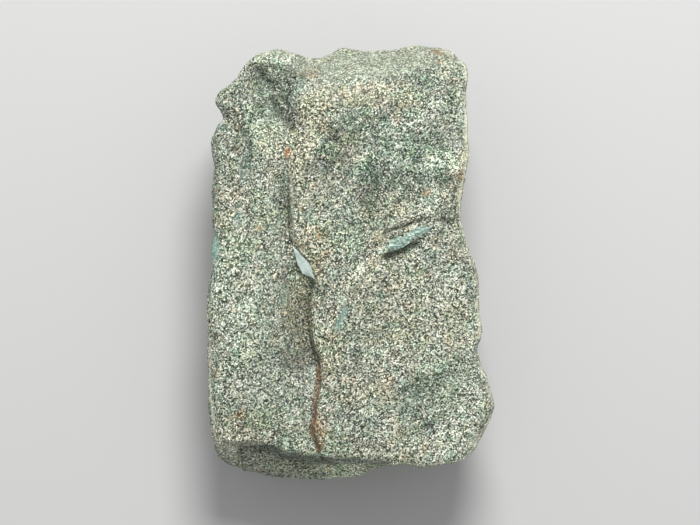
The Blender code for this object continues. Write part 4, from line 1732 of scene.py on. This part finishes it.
PALE_BLADE = BladeFinish("pale_blade", (0.76, 0.89, 0.83), (0.55, 0.68, 0.62), streak=0.4, along=-56.0)
TEAL = BladeFinish("teal_strip", (0.44, 0.58, 0.51), (0.15, 0.25, 0.20), streak=0.45, along=27.0, dusty=0.6)

BLADES = (
    Blade(
        "blade_cleft",
        (
            (-14.6, 3.8), (-13.4, 1.7), (-12.3, -0.2), (-11.4, -1.5), (-10.9, -2.5), (-9.6, -3.9),
            (-9.0, -4.6),
        ),
        (0.1, 0.62, 1.2, 1.4, 1.3, 0.36, 0.1),
        PALE_BLADE,
        flat=0.85,
        thickness=2.6,
        ragged=0.08,
    ),
    Blade(
        "strip_low",
        ((9.8, 3.2), (11.0, 3.8), (12.6, 4.5), (14.4, 5.3), (16.8, 6.3)),
        (0.35, 1.15, 1.35, 1.1, 0.15),
        TEAL,
        flat=0.5,
        ragged=0.5,
        rough=0.5,
        crown=0.2,
    ),
    Blade(
        "strip_high",
        ((13.8, 5.9), (15.8, 6.8), (17.6, 7.5), (19.2, 8.0), (21.0, 8.6)),
        (0.15, 0.75, 1.05, 0.9, 0.1),
        TEAL,
        flat=0.5,
        ragged=0.5,
        rough=0.5,
        crown=0.2,
    ),
)

SILVER_STOPS = ((0.0, (0.46, 0.48, 0.43)), (0.6, (0.64, 0.65, 0.60)), (1.0, (0.90, 0.90, 0.86)))
CREAM_STOPS = ((0.0, (0.30, 0.32, 0.25)), (0.5, (0.44, 0.46, 0.38)), (1.0, (0.60, 0.60, 0.51)))
GREEN_STOPS = ((0.0, (0.040, 0.058, 0.042)), (0.5, (0.115, 0.155, 0.110)), (1.0, (0.25, 0.31, 0.235)))
# The glint flakes' near-white colour partly paints the glints of the mica, besides their real gloss.
GLINT_STOPS = ((0.0, (0.72, 0.74, 0.68)), (1.0, (0.93, 0.93, 0.90)))
# The dark flakes are partly dark mica and partly painted shade between the flakes.
DARK_STOPS = ((0.0, (0.020, 0.028, 0.022)), (1.0, (0.075, 0.100, 0.075)))

FLAKES = (
    MicaFlakes(
        FlakeKind.SILVER,
        16000,
        11,
        FlakeFinish(FlakeKind.SILVER, SILVER_STOPS, dye=0.3),
        gains=((Tint.FROST_AND_PAINTED_LIGHT, 1.0), (Tint.PAINTED_SHADE_AND_DARK_SPOTS, -0.4), (Tint.EMERALD, 0.2)),
    ),
    MicaFlakes(
        FlakeKind.CREAM,
        16000,
        12,
        FlakeFinish(FlakeKind.CREAM, CREAM_STOPS, dye=0.8, roughness=0.38),
        gains=((Tint.EMERALD, -0.7),),
    ),
    MicaFlakes(
        FlakeKind.GREEN,
        16000,
        13,
        FlakeFinish(FlakeKind.GREEN, GREEN_STOPS, dye=1.0, roughness=0.35),
        gains=((Tint.EMERALD, 0.9), (Tint.FROST_AND_PAINTED_LIGHT, -0.5)),
    ),
    MicaFlakes(
        FlakeKind.GLINT,
        16000,
        14,
        FlakeFinish(FlakeKind.GLINT, GLINT_STOPS, dye=0.1, roughness=0.22),
        gains=((Tint.FROST_AND_PAINTED_LIGHT, 0.8), (Tint.PAINTED_SHADE_AND_DARK_SPOTS, -0.5), (Tint.EMERALD, 1.0)),
        width=(0.24, 0.52),
    ),
    MicaFlakes(
        FlakeKind.DARK,
        16000,
        15,
        FlakeFinish(FlakeKind.DARK, DARK_STOPS, dye=0.3, roughness=0.35),
        gains=((Tint.FROST_AND_PAINTED_LIGHT, -0.6), (Tint.EMERALD, 1.6), (Tint.CRUST, -0.4)),
        width=(0.24, 0.52),
    ),
)


def put_on_stone(piece: bpy.types.Object) -> None:
    """Makes a piece ride on the stone and stand for its solid.

    Args:
        piece: The piece.
    """
    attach(piece, "root")
    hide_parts(NODE)
    LOG.info("%s: %d faces", piece.name, len(piece.data.polygons))


def main() -> None:
    """Builds the studio and the stone."""
    logging.basicConfig(level=logging.INFO, format="%(name)s: %(message)s")
    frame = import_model()
    Studio().build()
    skin = StoneSkin().build(frame["nodes"][NODE])
    put_on_stone(skin)
    ground = Ground(skin)
    for blade in BLADES:
        put_on_stone(blade.build(ground))
    for flakes in FLAKES:
        put_on_stone(flakes.build(ground))


if __name__ == "__main__":
    main()
